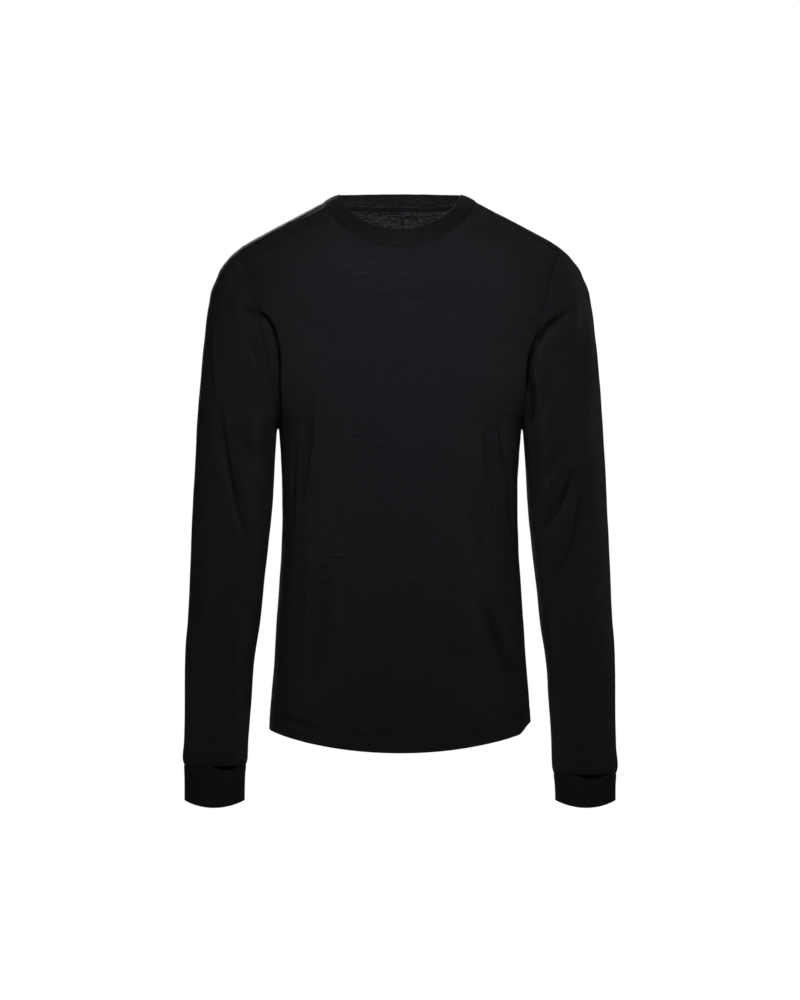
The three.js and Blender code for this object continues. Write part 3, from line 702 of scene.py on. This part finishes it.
# A curve through three places
def smoothPath(start, middle, end):
    t = np.linspace(0, 1, creaseForm["steps"] + 1)[:, None]
    return start * (1 - t) * (1 - 2 * t) + middle * 4 * t * (1 - t) + end * t * (2 * t - 1)


# Height of one crease at each point: it fades out at both ends
def creaseHeight(points, path, width, height):
    total = np.zeros(len(points))
    middle = (path[0] + path[-1]) / 2
    span = np.linalg.norm(path - middle, axis=1).max() + creaseForm["reach"] * width
    near = np.flatnonzero(np.linalg.norm(points - middle, axis=1) < span)
    here = points[near][:, None]
    step = path[1:] - path[:-1]
    t = np.clip(((here - path[:-1]) * step).sum(axis=2) / (step * step).sum(axis=1), 0, 1)
    away = np.linalg.norm(here - path[:-1] - t[:, :, None] * step, axis=2)
    i = away.argmin(axis=1)
    rows = np.arange(len(near))
    along = (i + t[rows, i]) / creaseForm["steps"]
    fade = np.sin(np.clip(along, 0, 1) * math.pi) ** creaseForm["fade"]
    total[near] = height * fade * np.exp(-(away[rows, i] / width) ** 2)
    return total


# All pieces as one cloth: points alike to 0.01 mm are one point of a seam, whose sides move together
for piece in pieces.values():
    piece["normals"] = gridNormals(piece)
allPoints = np.concatenate([piece["grid"][:, :, :3].reshape(-1, 3) for piece in pieces.values()])
allNormals = np.concatenate([piece["normals"].reshape(-1, 3) for piece in pieces.values()])
keys, knot, uses = np.unique(np.round(allPoints, 2), axis=0, return_inverse=True, return_counts=True)
knot = knot.ravel()
summed = np.zeros((len(keys), 3))
np.add.at(summed, knot, allNormals)
allNormals = unit(summed)[knot]
onSeam = uses[knot] > 1


# The point of the cloth seen at this place from that side
def placeOn(faces, place):
    seen = allNormals[:, 1] * facing[faces] > creaseForm["leastFacing"]
    away = np.hypot(allPoints[:, 0] - place[0], allPoints[:, 2] - place[1])
    near = np.flatnonzero(seen & (away < away[seen].min() + creaseForm["search"]))
    return allPoints[near[np.argmax(allPoints[near, 1] * facing[faces])]]


heights = np.zeros(len(allPoints))
for faces, rows in creases.items():
    for start, middle, end, width, height in rows:
        path = smoothPath(*(placeOn(faces, place) for place in (start, middle, end)))
        heights += creaseHeight(allPoints, path, width, height)

# Painted shade: darker colour in the troughs and along the seams, where little light gets in
paintedShade = {"fullDepth": 11, "onset": 1.5, "seam": 0.3}
hollow = np.clip(-heights / paintedShade["fullDepth"], 0, 1) ** paintedShade["onset"]
hollow = np.maximum(hollow, np.where(onSeam, paintedShade["seam"], 0))

# At the seams the waves are fainter and the cloth lies a little lower, but not at the neck
seamForm = {"undulation": 0.3, "sink": 0.45, "sinkFrom": 80, "sinkTo": 150}
soft = np.where(onSeam, seamForm["undulation"], 1.0)
for wave in undulation:
    heights += soft * wave["height"] * np.array([noise.noise(Vector(p) / wave["size"]) for p in allPoints])

# The cloth lies smooth close beside the neckband, over the shoulders and behind
calm = {"from": 14, "to": 40, "behind": -45, "above": -60, "within": 150}
fromAxis = np.hypot(*allPoints[:, :2].T)
highUp = (allPoints[:, 1] > calm["behind"]) & (allPoints[:, 2] > calm["above"])
byNeck = np.flatnonzero(highUp & (fromAxis < calm["within"]))
neckSeam = pieces["neckband"]["grid"][-1, :, :3]
fromSeam = np.linalg.norm(allPoints[byNeck, None] - neckSeam[None], axis=2).min(axis=1)
heights[byNeck] *= smoothStep(fromSeam, calm["from"], calm["to"])
sunk = smoothStep(fromAxis, seamForm["sinkFrom"], seamForm["sinkTo"])
heights -= np.where(onSeam, seamForm["sink"], 0) * sunk
print("creases placed:", sum(len(rows) for rows in creases.values()))


# Random heights with grains of this size
def grainHeights(points, size):
    return np.array([noise.noise(Vector(place)) for place in points.reshape(-1, 3) / size])


first = 0
for name, piece in pieces.items():
    shape = piece["grid"].shape[:2]
    last = first + shape[0] * shape[1]
    piece["normals"] = allNormals[first:last].reshape(*shape, 3)
    lift = heights[first:last].reshape(shape)
    points = piece["grid"][:, :, :3]
    if name in facing:
        up = runDown(points[::-1])[::-1]
        line = np.exp(-((up - hemSew["foldedUp"]) / hemSew["grooveWidth"]) ** 2)
        beside = np.exp(-(np.abs(up - hemSew["foldedUp"]) / hemSew["rippleReach"]) ** 2)
        ripple = grainHeights(points, hemSew["rippleSize"]).reshape(shape)
        lift = lift - hemSew["groove"] * line + hemSew["ripple"] * beside * ripple
    if name == "neckband":
        crinkle = grainHeights(points, neckband["crinkleSize"]).reshape(shape)
        across = np.sin(np.linspace(0, math.pi, shape[0]))[:, None]
        behind = smoothStep(points[:, :, 1], neckband["crinkleFrom"], neckband["crinkleTo"])
        lift = lift + crinkle * across * mix(neckband["crinkleFront"], neckband["crinkleBehind"], behind)
    moved = points + piece["normals"] * lift[:, :, None]
    # the painted shade at each point goes with the grid as its last column
    shadePaint = hollow[first:last].reshape(*shape, 1)
    piece["grid"] = np.concatenate([moved, piece["grid"][:, :, 3:], shadePaint], axis=2)
    piece["normals"] = gridNormals(piece)
    first = last


# The line at some distance in from an edge: the edge comes first on the first axis
def besideEdge(points, normals, distance, lift):
    run = runDown(points)
    i = np.clip((run < distance).sum(axis=0), 1, len(run) - 1)
    columns = np.arange(points.shape[1])
    t = (distance - run[i - 1, columns]) / np.maximum(run[i, columns] - run[i - 1, columns], tiny)
    place = mix(points[i - 1, columns], points[i, columns], t[:, None])
    return place + unit(mix(normals[i - 1, columns], normals[i, columns], t[:, None])) * lift


# Folds the hem under: round its lower edge and up the inside
turnUp = {"gap": 0.25, "edgeSteps": 4, "upSteps": 7, "upFrom": 0.01, "flatStep": 0.5}


def turnHem(piece):
    grid, normals = piece["grid"], piece["normals"]
    apart = piece["cloth"] + turnUp["gap"]
    lowest, outward = grid[-1, :, :3], normals[-1]
    under = unit(grid[-1, :, :3] - grid[-2, :, :3])
    rows = [grid]
    for k in range(1, turnUp["edgeSteps"]):
        angle = math.pi * k / turnUp["edgeSteps"]
        points = lowest - outward * apart / 2 * (1 - math.cos(angle)) + under * apart / 2 * math.sin(angle)
        flat = grid[-1, :, 3:] - [0, k * turnUp["flatStep"], 0]
        rows.append(np.concatenate([points, flat], axis=1)[None])
    upward = grid[::-1, :, :3], normals[::-1]
    roundEdge = turnUp["edgeSteps"] * turnUp["flatStep"]
    for distance in np.linspace(turnUp["upFrom"], hemSew["foldedUp"], turnUp["upSteps"]):
        points = besideEdge(*upward, distance, -apart)
        flat = grid[-1, :, 3:] - [0, roundEdge + distance, 0]
        rows.append(np.concatenate([points, flat], axis=1)[None])
    return np.concatenate(rows)


# The tape over the back neck seam, inside
tape = {"below": 1.4, "width": 10, "gap": 0.5, "cloth": 0.8, "rows": 6, "inset": 2}
back = pieces["back"]
ends = (panelCut["shoulderColumns"] + tape["inset"]) * finer
tapeEdge = back["grid"][:, ends:-ends, :3], back["normals"][:, ends:-ends]
inward = panelCut["cloth"] / 2 + tape["gap"] + tape["cloth"] / 2
tapeRows = []
for distance in np.linspace(tape["below"], tape["width"], tape["rows"]):
    points = besideEdge(*tapeEdge, distance, -inward)
    flat = np.stack([runAlong(points), np.full(len(points), -distance), np.zeros(len(points))], axis=1)
    tapeRows.append(np.concatenate([points, flat], axis=1))
pieces["neck_tape"] = asPiece(np.array(tapeRows), False, back["outward"], tape["cloth"])


ringJump = 20    # a face this many steps across in the flat cloth closes a ring


# A mesh from a grid of points and flat places, with its outer face on the outside
def gridMesh(name, piece):
    grid, wraps = piece["grid"], piece["wraps"]
    rows, columns = grid.shape[:2]
    across = columns if wraps else columns - 1
    r, c = np.meshgrid(np.arange(rows - 1), np.arange(across), indexing="ij")
    nextColumn = (c + 1) % columns
    corners = [(r, c), (r + 1, c), (r + 1, nextColumn), (r, nextColumn)]
    if piece["outward"] < 0:
        corners.reverse()
    faces = np.stack([a * columns + b for a, b in corners], axis=-1).reshape(-1, 4)
    mesh = bpy.data.meshes.new(name)
    mesh.from_pydata((grid[:, :, :3].reshape(-1, 3) * mm).tolist(), [], faces.tolist())
    flat = grid[:, :, 3:5].reshape(-1, 2)[faces] * mm
    if wraps:
        # a face that closes the ring takes its far side one step on, not at the ring's start
        step = np.abs(np.diff(grid[:, :2, 3], axis=1)).mean() * mm
        low = flat[:, :, 0].min(axis=1, keepdims=True)
        high = flat[:, :, 0].max(axis=1, keepdims=True)
        closing = (high - low > ringJump * step) & (flat[:, :, 0] - low < step)
        flat[:, :, 0] = np.where(closing, high + step, flat[:, :, 0])
    layer = mesh.uv_layers.new(name="cloth")
    layer.data.foreach_set("uv", flat.astype(np.float32).ravel())
    # each point's painted shade, for the material to darken its colour
    shadeLayer = mesh.attributes.new("hollow", "FLOAT", "POINT")
    shadeLayer.data.foreach_set("value", grid[:, :, 5].astype(np.float32).ravel())
    mesh.validate()
    mesh.update()
    return addObject(name, mesh)


def choose(made):
    bpy.ops.object.select_all(action="DESELECT")
    made.select_set(True)
    bpy.context.view_layer.objects.active = made


def apply(made, modifier):
    choose(made)
    bpy.ops.object.modifier_apply(modifier=modifier.name)


roundEdges = {"share": 0.42, "segments": 2, "fromDegrees": 62}


# Gives a sheet its thickness, with rounded edges
def thicken(made, cloth):
    wall = made.modifiers.new("wall", "SOLIDIFY")
    wall.thickness = cloth * mm
    wall.offset = 0
    wall.material_offset = 1
    apply(made, wall)
    rim = made.modifiers.new("rim", "BEVEL")
    rim.width = cloth * roundEdges["share"] * mm
    rim.segments = roundEdges["segments"]
    rim.limit_method = "ANGLE"
    rim.angle_limit = math.radians(roundEdges["fromDegrees"])
    apply(made, rim)
    made.data.shade_smooth()


# A node with its settings, and each input given as a value or as what is joined to it
def addNode(tree, kind, place, inputs=None, **settings):
    node = tree.nodes.new(kind)
    node.location = place
    for name, value in settings.items():
        setattr(node, name, value)
    for socket, value in (inputs or {}).items():
        if isinstance(value, bpy.types.NodeSocket):
            tree.links.new(value, node.inputs[socket])
        else:
            node.inputs[socket].default_value = value
    return node


# Fine knit: columns of small loops, with uneven thick and thin runs of yarn across them
loop = {"slant": 0.45, "height": 0.62, "swell": 0.38}
# how many grains a metre across, down and out, and where the noise turns from none to full
yarn = {
    "thick": {"scale": (36, 760, 1), "from": 0.55, "to": 0.64, "seed": 3.1},
    "patches": {"scale": (13, 20, 1), "from": 0.49, "to": 0.64, "seed": 7.7},
    "thin": {"scale": (40, 760, 1), "from": 0.56, "to": 0.66, "seed": 12.4},
    "fibre": {"scale": (170, 620, 1), "from": 0.34, "to": 0.66, "seed": 21.9},
}
# How the knit's colour factor is made: the stitch share is painted shade from the loops' relief, lighter on
# their crests and darker between them; slub and gaps are the yarn's thick and thin runs
knitShade = {"stitch": 0.22, "least": 0.3, "slub": 0.55, "gaps": 0.4}
slubRelief = 1.6


def knitGroup():
    group = bpy.data.node_groups.new("fineKnit", "ShaderNodeTree")
    sockets = {"Place": "Vector", "Wale": "Float", "Course": "Float", "Slub": "Float", "Heather": "Float"}
    for name, kind in sockets.items():
        group.interface.new_socket(name, in_out="INPUT", socket_type="NodeSocket" + kind)
    for name in ("Shade", "Height"):
        group.interface.new_socket(name, in_out="OUTPUT", socket_type="NodeSocketFloat")
    enter = addNode(group, "NodeGroupInput", (-1400, 0))
    leave = addNode(group, "NodeGroupOutput", (900, 0))

    def reckon(operation, place, a, b=0.0, clamp=False):
        made = addNode(group, "ShaderNodeMath", place, {0: a, 1: b}, operation=operation, use_clamp=clamp)
        return made.outputs[0]

    place = addNode(group, "ShaderNodeSeparateXYZ", (-1200, 0), {0: enter.outputs["Place"]})
    wale = reckon("DIVIDE", (-1000, 200), place.outputs[0], enter.outputs["Wale"])
    course = reckon("DIVIDE", (-1000, 0), place.outputs[1], enter.outputs["Course"])
    doubled = reckon("MULTIPLY", (-800, 200), reckon("FRACT", (-900, 200), wale), 2.0)
    across = reckon("ABSOLUTE", (-500, 200), reckon("SUBTRACT", (-650, 200), doubled, 1.0))
    slanted = reckon("ADD", (-500, 0), course, reckon("MULTIPLY", (-650, 0), across, loop["slant"]))
    loops = reckon("SINE", (-350, 0), reckon("MULTIPLY", (-420, 0), slanted, 2 * math.pi))
    column = reckon("SUBTRACT", (-350, 200), 1.0, reckon("MULTIPLY", (-420, 200), across, across))
    swell = reckon("MULTIPLY", (-280, 0), loops, loop["swell"])
    stitch = reckon("MULTIPLY", (-100, 100), column, reckon("ADD", (-220, 0), loop["height"], swell))

    def streaks(name, down):
        run = yarn[name]
        seed = run["seed"]
        moved = addNode(group, "ShaderNodeMapping", (-1000, down), {
            "Vector": enter.outputs["Place"], "Location": (seed, seed * 2, seed), "Scale": run["scale"]})
        grain = addNode(group, "ShaderNodeTexNoise", (-820, down), {
            "Vector": moved.outputs[0], "Scale": 1.0, "Detail": 2.0, "Roughness": 0.5})
        limits = {"Value": grain.outputs[0], "From Min": run["from"], "From Max": run["to"]}
        made = addNode(group, "ShaderNodeMapRange", (-640, down), limits, interpolation_type="SMOOTHSTEP")
        return made.outputs[0]

    thick = streaks("thick", -300)
    patches = streaks("patches", -500)
    thin = streaks("thin", -700)
    fibre = streaks("fibre", -900)
    thickRuns = reckon("MULTIPLY", (-350, -300), thick, patches)
    thinRuns = reckon("MULTIPLY", (-350, -600), thin, patches)
    slub = reckon("MULTIPLY", (-200, -300), thickRuns, enter.outputs["Slub"])
    gaps = reckon("MULTIPLY", (-200, -600), thinRuns, enter.outputs["Slub"])
    evenly = reckon("SUBTRACT", (-350, -800), fibre, 0.5)
    flecks = reckon("MULTIPLY", (-200, -800), evenly, enter.outputs["Heather"])
    # Painted shade from the loops' relief: lighter on their crests, darker between them
    shade = reckon("MULTIPLY", (0, 100), stitch, knitShade["stitch"])
    shade = reckon("ADD", (100, 100), shade, knitShade["least"])
    shade = reckon("ADD", (250, 0), shade, reckon("MULTIPLY", (150, -100), slub, knitShade["slub"]))
    shade = reckon("SUBTRACT", (400, 0), shade, reckon("MULTIPLY", (250, -200), gaps, knitShade["gaps"]))
    shade = reckon("ADD", (550, 0), shade, flecks, clamp=True)
    runs = reckon("SUBTRACT", (100, -400), slub, gaps)
    height = reckon("ADD", (400, -300), stitch, reckon("MULTIPLY", (250, -400), runs, slubRelief))
    group.links.new(shade, leave.inputs["Shade"])
    group.links.new(height, leave.inputs["Height"])
    return group


fineKnit = knitGroup()
# The colour of the painted shade in the deepest troughs
paintedShadeColour = (0.0007, 0.0007, 0.0010)
shaderInputs = {
    "roughness": "Roughness",
    "gloss": "Specular IOR Level",
    "nap": "Sheen Weight",
    "napSpread": "Sheen Roughness",
}


# Two tones of yarn in the knit, with painted shade in hollow places and along the seams, and the knit's own
# relief
def clothMaterial(name, finish):
    material = bpy.data.materials.new(name)
    material.use_nodes = True
    tree = material.node_tree
    shader = tree.nodes["Principled BSDF"]
    shader.location = (700, 0)
    place = addNode(tree, "ShaderNodeUVMap", (-500, 0), uv_map="cloth")
    knit = addNode(tree, "ShaderNodeGroup", (-250, 0), node_tree=fineKnit)
    tree.links.new(place.outputs[0], knit.inputs["Place"])
    for socket in ("Wale", "Course", "Slub", "Heather"):
        knit.inputs[socket].default_value = finish[socket.lower()]
    colour = addNode(tree, "ShaderNodeMix", (150, 200), {"Factor": knit.outputs["Shade"]}, data_type="RGBA")
    colour.inputs[6].default_value = (*finish["dark"], 1)
    colour.inputs[7].default_value = (*finish["light"], 1)
    # Painted shade: the yarn's colour darkens towards the shade colour in troughs and along the seams
    depth = addNode(tree, "ShaderNodeAttribute", (150, -100), attribute_name="hollow")
    shadePaint = addNode(tree, "ShaderNodeMix", (400, 100), {"Factor": depth.outputs["Fac"]}, data_type="RGBA")
    tree.links.new(colour.outputs[2], shadePaint.inputs[6])
    shadePaint.inputs[7].default_value = (*paintedShadeColour, 1)
    tree.links.new(shadePaint.outputs[2], shader.inputs["Base Color"])
    bump = addNode(tree, "ShaderNodeBump", (350, -300), {
        "Height": knit.outputs["Height"], "Strength": finish["bump"], "Distance": finish["relief"]})
    tree.links.new(bump.outputs[0], shader.inputs["Normal"])
    for value, socket in shaderInputs.items():
        shader.inputs[socket].default_value = finish[value]
    return material


# Wale and course are one stitch's width and height, and relief the depth of the bump, in metres
finishes = {
    "blackJersey": {
        "wale": 0.0008, "course": 0.00065, "slub": 0.75, "heather": 0.14,
        "dark": (0.0034, 0.0033, 0.0049), "light": (0.0178, 0.0170, 0.0238),
        "bump": 0.9, "relief": 0.0006, "roughness": 0.72, "gloss": 0.16, "nap": 0.02, "napSpread": 0.4,
    },
    "greyInside": {
        "wale": 0.0008, "course": 0.00065, "slub": 1.6, "heather": 1.0,
        "dark": (0.007, 0.007, 0.009), "light": (0.105, 0.101, 0.118),
        "bump": 0.9, "relief": 0.0006, "roughness": 0.85, "gloss": 0.1, "nap": 0.03, "napSpread": 0.5,
    },
    "blackBand": {
        "wale": 0.0009, "course": 0.0007, "slub": 0.12, "heather": 0.15,
        "dark": (0.0028, 0.0027, 0.0038), "light": (0.0110, 0.0106, 0.0142),
        "bump": 0.6, "relief": 0.0003, "roughness": 0.78, "gloss": 0.12, "nap": 0.02, "napSpread": 0.4,
    },
    "bandInside": {
        "wale": 0.0009, "course": 0.0007, "slub": 1.8, "heather": 0.7,
        "dark": (0.007, 0.007, 0.009), "light": (0.085, 0.082, 0.098),
        "bump": 1.0, "relief": 0.0025, "roughness": 0.7, "gloss": 0.2, "nap": 0.03, "napSpread": 0.5,
    },
    "smoothTape": {
        "wale": 0.0005, "course": 0.0005, "slub": 0, "heather": 0.08,
        "dark": (0.006, 0.006, 0.008), "light": (0.020, 0.019, 0.025),
        "bump": 0.3, "relief": 0.0002, "roughness": 0.6, "gloss": 0.2, "nap": 0.0, "napSpread": 0.4,
    },
}
materials = {name: clothMaterial(name, finish) for name, finish in finishes.items()}
print("materials made:", ", ".join(materials))


def triangleCount(made):
    return sum(len(polygon.vertices) - 2 for polygon in made.data.polygons)


# What each piece was cut to, in metres, and the finish of its outer and inner face
cuts = {
    "front": {"flat": (0.48, 0.76), "area": 0.30, "slot": "jersey", "faces": ("blackJersey", "greyInside")},
    "back": {"flat": (0.48, 0.78), "area": 0.32, "slot": "jersey", "faces": ("blackJersey", "greyInside")},
    "sleeve": {"flat": (0.40, 0.70), "area": 0.19, "slot": "jersey", "faces": ("blackJersey", "greyInside")},
    "cuff": {"flat": (0.19, 0.05), "area": None, "slot": "rib", "faces": ("blackBand", "blackBand")},
    "neckband": {"flat": (0.56, 0.03), "area": None, "slot": "rib", "faces": ("blackBand", "bandInside")},
    "neck_tape": {"flat": (0.19, 0.01), "area": None, "slot": "tape", "faces": ("smoothTape", "smoothTape")},
}

for name, piece in pieces.items():
    kind = name if name in cuts else name.split("_")[0]
    cut = cuts[kind]
    if name in facing:
        piece = dict(piece, grid=turnHem(piece))
    made = gridMesh(name + "_cloth", piece)
    for face in cut["faces"]:
        made.data.materials.append(materials[face])
    thicken(made, piece["cloth"])
    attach(made, "root")
    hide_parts(name)
    print(name, "sewn:", triangleCount(made), "triangles")

# Rows of stitches: name, the piece they are sewn into, the edge they follow and how far in each runs
stitch = {"length": 2.3, "pitch": 3.0, "thread": 0.42, "sink": 0.1, "sides": 6, "rings": 4}
stitchRows = [
    ("hem_front", "front", "bottom", (18.6, 21.4)),
    ("hem_back", "back", "bottom", (18.6, 21.4)),
    ("neck_front", "front", "neck", (1.9, 4.6)),
    ("neck_back", "back", "neck", (1.9, 4.6)),
    ("shoulders", "back", "shoulders", (1.7, 4.4)),
    ("armholes_front", "front", "armholes", (1.7, 4.4)),
    ("armholes_back", "back", "armholes", (1.7, 4.4)),
    ("cuff_seam_left", "sleeve_left", "bottom", (1.8, 4.4)),
    ("cuff_seam_right", "sleeve_right", "bottom", (1.8, 4.4)),
]


# The parts of a piece beside the named edge, turned so that the edge is their first row
def edgeStrips(piece, edge):
    points, normals = piece["grid"][:, :, :3], piece["normals"]
    if piece["wraps"]:
        points = np.concatenate([points, points[:, :1]], 1)
        normals = np.concatenate([normals, normals[:, :1]], 1)
    shoulder = panelCut["shoulderColumns"] * finer
    underarm = len(points) - panelCut["sideRows"] * finer - hemSew["spans"] * (hemSew["parts"] - 1)
    if edge == "bottom":
        return [(points[::-1], normals[::-1])]
    if edge == "neck":
        return [(points[:, shoulder:-shoulder], normals[:, shoulder:-shoulder])]
    if edge == "shoulders":
        left, right = slice(None, shoulder + 1), slice(-shoulder - 1, None)
        return [(points[:, part], normals[:, part]) for part in (left, right)]
    sides = (points[:underarm], normals[:underarm])
    left = tuple(part.transpose(1, 0, 2) for part in sides)
    return [left, tuple(part[::-1] for part in left)]


# One stitch: a ball one millimetre across, drawn out along the row
bpy.ops.mesh.primitive_uv_sphere_add(segments=stitch["sides"], ring_count=stitch["rings"], radius=0.5 * mm)
oneStitch = bpy.context.object
oneStitch.name = "one_stitch"
bpy.ops.object.mode_set(mode="EDIT")
bpy.ops.mesh.select_all(action="SELECT")
bpy.ops.transform.rotate(value=math.pi / 2, orient_axis="Y", center_override=(0, 0, 0))
stitchSize = (stitch["length"], stitch["thread"], stitch["thread"])
bpy.ops.transform.resize(value=stitchSize, center_override=(0, 0, 0))
bpy.ops.object.mode_set(mode="OBJECT")
oneStitch.data.shade_smooth()
oneStitch.data.materials.append(clothMaterial("sewingThread", finishes["blackBand"]))


# Copies the one stitch along a line
def sewAlong(name, line):
    path = bpy.data.curves.new(name + "_line", "CURVE")
    path.dimensions = "3D"
    spline = path.splines.new("POLY")
    spline.points.add(len(line) - 1)
    places = np.concatenate([line * mm, np.ones((len(line), 1))], axis=1)
    spline.points.foreach_set("co", places.astype(np.float32).ravel())
    pathObject = addObject(name + "_line", path)
    row = addObject(name, oneStitch.data.copy())
    copies = row.modifiers.new("copies", "ARRAY")
    copies.fit_type = "FIT_CURVE"
    copies.curve = pathObject
    copies.use_relative_offset = False
    copies.use_constant_offset = True
    copies.constant_offset_displace = (stitch["pitch"] * mm, 0, 0)
    bend = row.modifiers.new("bend", "CURVE")
    bend.object = pathObject
    bend.deform_axis = "POS_X"
    bpy.context.view_layer.update()
    apply(row, copies)
    apply(row, bend)
    bpy.data.objects.remove(pathObject)
    return row


for name, pieceName, edge, insets in stitchRows:
    piece = pieces[pieceName]
    lift = piece["cloth"] / 2 + stitch["sink"]
    rows = []
    for points, normals in edgeStrips(piece, edge):
        for inset in insets:
            rows.append(sewAlong(name, besideEdge(points, normals, inset, lift)))
    bpy.ops.object.select_all(action="DESELECT")
    for row in rows:
        row.select_set(True)
    bpy.context.view_layer.objects.active = rows[0]
    bpy.ops.object.join()
    sewn = bpy.context.object
    sewn.name = "stitches_" + name
    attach(sewn, "root")
    print(sewn.name, "sewn:", triangleCount(sewn), "triangles")
bpy.data.objects.remove(oneStitch)

# Stage: a plain pale floor and soft studio light
stage = {
    "floorSize": 60,
    "floorHeight": -1.4,
    "floorColour": (0.85, 0.85, 0.85, 1),
    "floorRoughness": 0.9,
    "floorGlow": 1.0,        # seen by the camera alone
    "worldLight": 0.03,      # what the air gives the cloth; the camera sees it white
}
bpy.ops.mesh.primitive_plane_add(size=stage["floorSize"], location=(0, 0, stage["floorHeight"]))
floor = bpy.context.object
floor.name = "floor"
pale = bpy.data.materials.new("paleFloor")
pale.use_nodes = True
paleShader = pale.node_tree.nodes["Principled BSDF"]
paleShader.inputs["Base Color"].default_value = stage["floorColour"]
paleShader.inputs["Roughness"].default_value = stage["floorRoughness"]
paleShader.inputs["Emission Color"].default_value = (1, 1, 1, 1)
seen = addNode(pale.node_tree, "ShaderNodeLightPath", (-500, 0))
glow = addNode(pale.node_tree, "ShaderNodeMath", (-250, 0), {
    0: seen.outputs["Is Camera Ray"], 1: stage["floorGlow"]}, operation="MULTIPLY")
pale.node_tree.links.new(glow.outputs[0], paleShader.inputs["Emission Strength"])
floor.data.materials.append(pale)

world = bpy.data.worlds.new("studio")
bpy.context.scene.world = world
world.use_nodes = True
air = world.node_tree
background = air.nodes["Background"]
background.inputs["Color"].default_value = (1, 1, 1, 1)
fromCamera = addNode(air, "ShaderNodeLightPath", (-700, 0))
strength = addNode(air, "ShaderNodeMapRange", (-400, 0), {
    "Value": fromCamera.outputs["Is Camera Ray"], "To Min": stage["worldLight"], "To Max": 1.0})
air.links.new(strength.outputs[0], background.inputs["Strength"])
bpy.context.scene.view_settings.view_transform = "Standard"

# Lights: places and sizes in metres
lights = [
    {"name": "key", "place": (0.02, -0.80, 0.02), "aim": (0, -0.1, -0.16), "size": 0.22, "watts": 5.1},
    {"name": "sideLeft", "place": (-1.5, -0.9, 0.3), "aim": (-0.15, 0, -0.3), "size": 0.5, "watts": 1.8},
    {"name": "sideRight", "place": (1.5, -0.8, 0.3), "aim": (0.15, 0, -0.3), "size": 0.5, "watts": 3.0},
    {"name": "overShoulders", "place": (0.1, 1.5, 0.7), "aim": (0, 0, -0.05), "size": 0.5, "watts": 3},
    {"name": "behind", "place": (-0.5, 1.6, 0.5), "aim": (0, 0, -0.3), "size": 0.5, "watts": 24},
    {"name": "behindRight", "place": (1.6, 1.3, 0.1), "aim": (0, 0, -0.35), "size": 0.5, "watts": 3},
]
for light in lights:
    data = bpy.data.lights.new(light["name"], "AREA")
    data.shape = "SQUARE"
    data.size = light["size"]
    data.energy = light["watts"]
    lamp = addObject(light["name"], data)
    lamp.location = light["place"]
    lamp.visible_camera = False
    lamp.rotation_euler = (Vector(light["aim"]) - lamp.location).to_track_quat("-Z", "Y").to_euler()
print("stage and lights set")
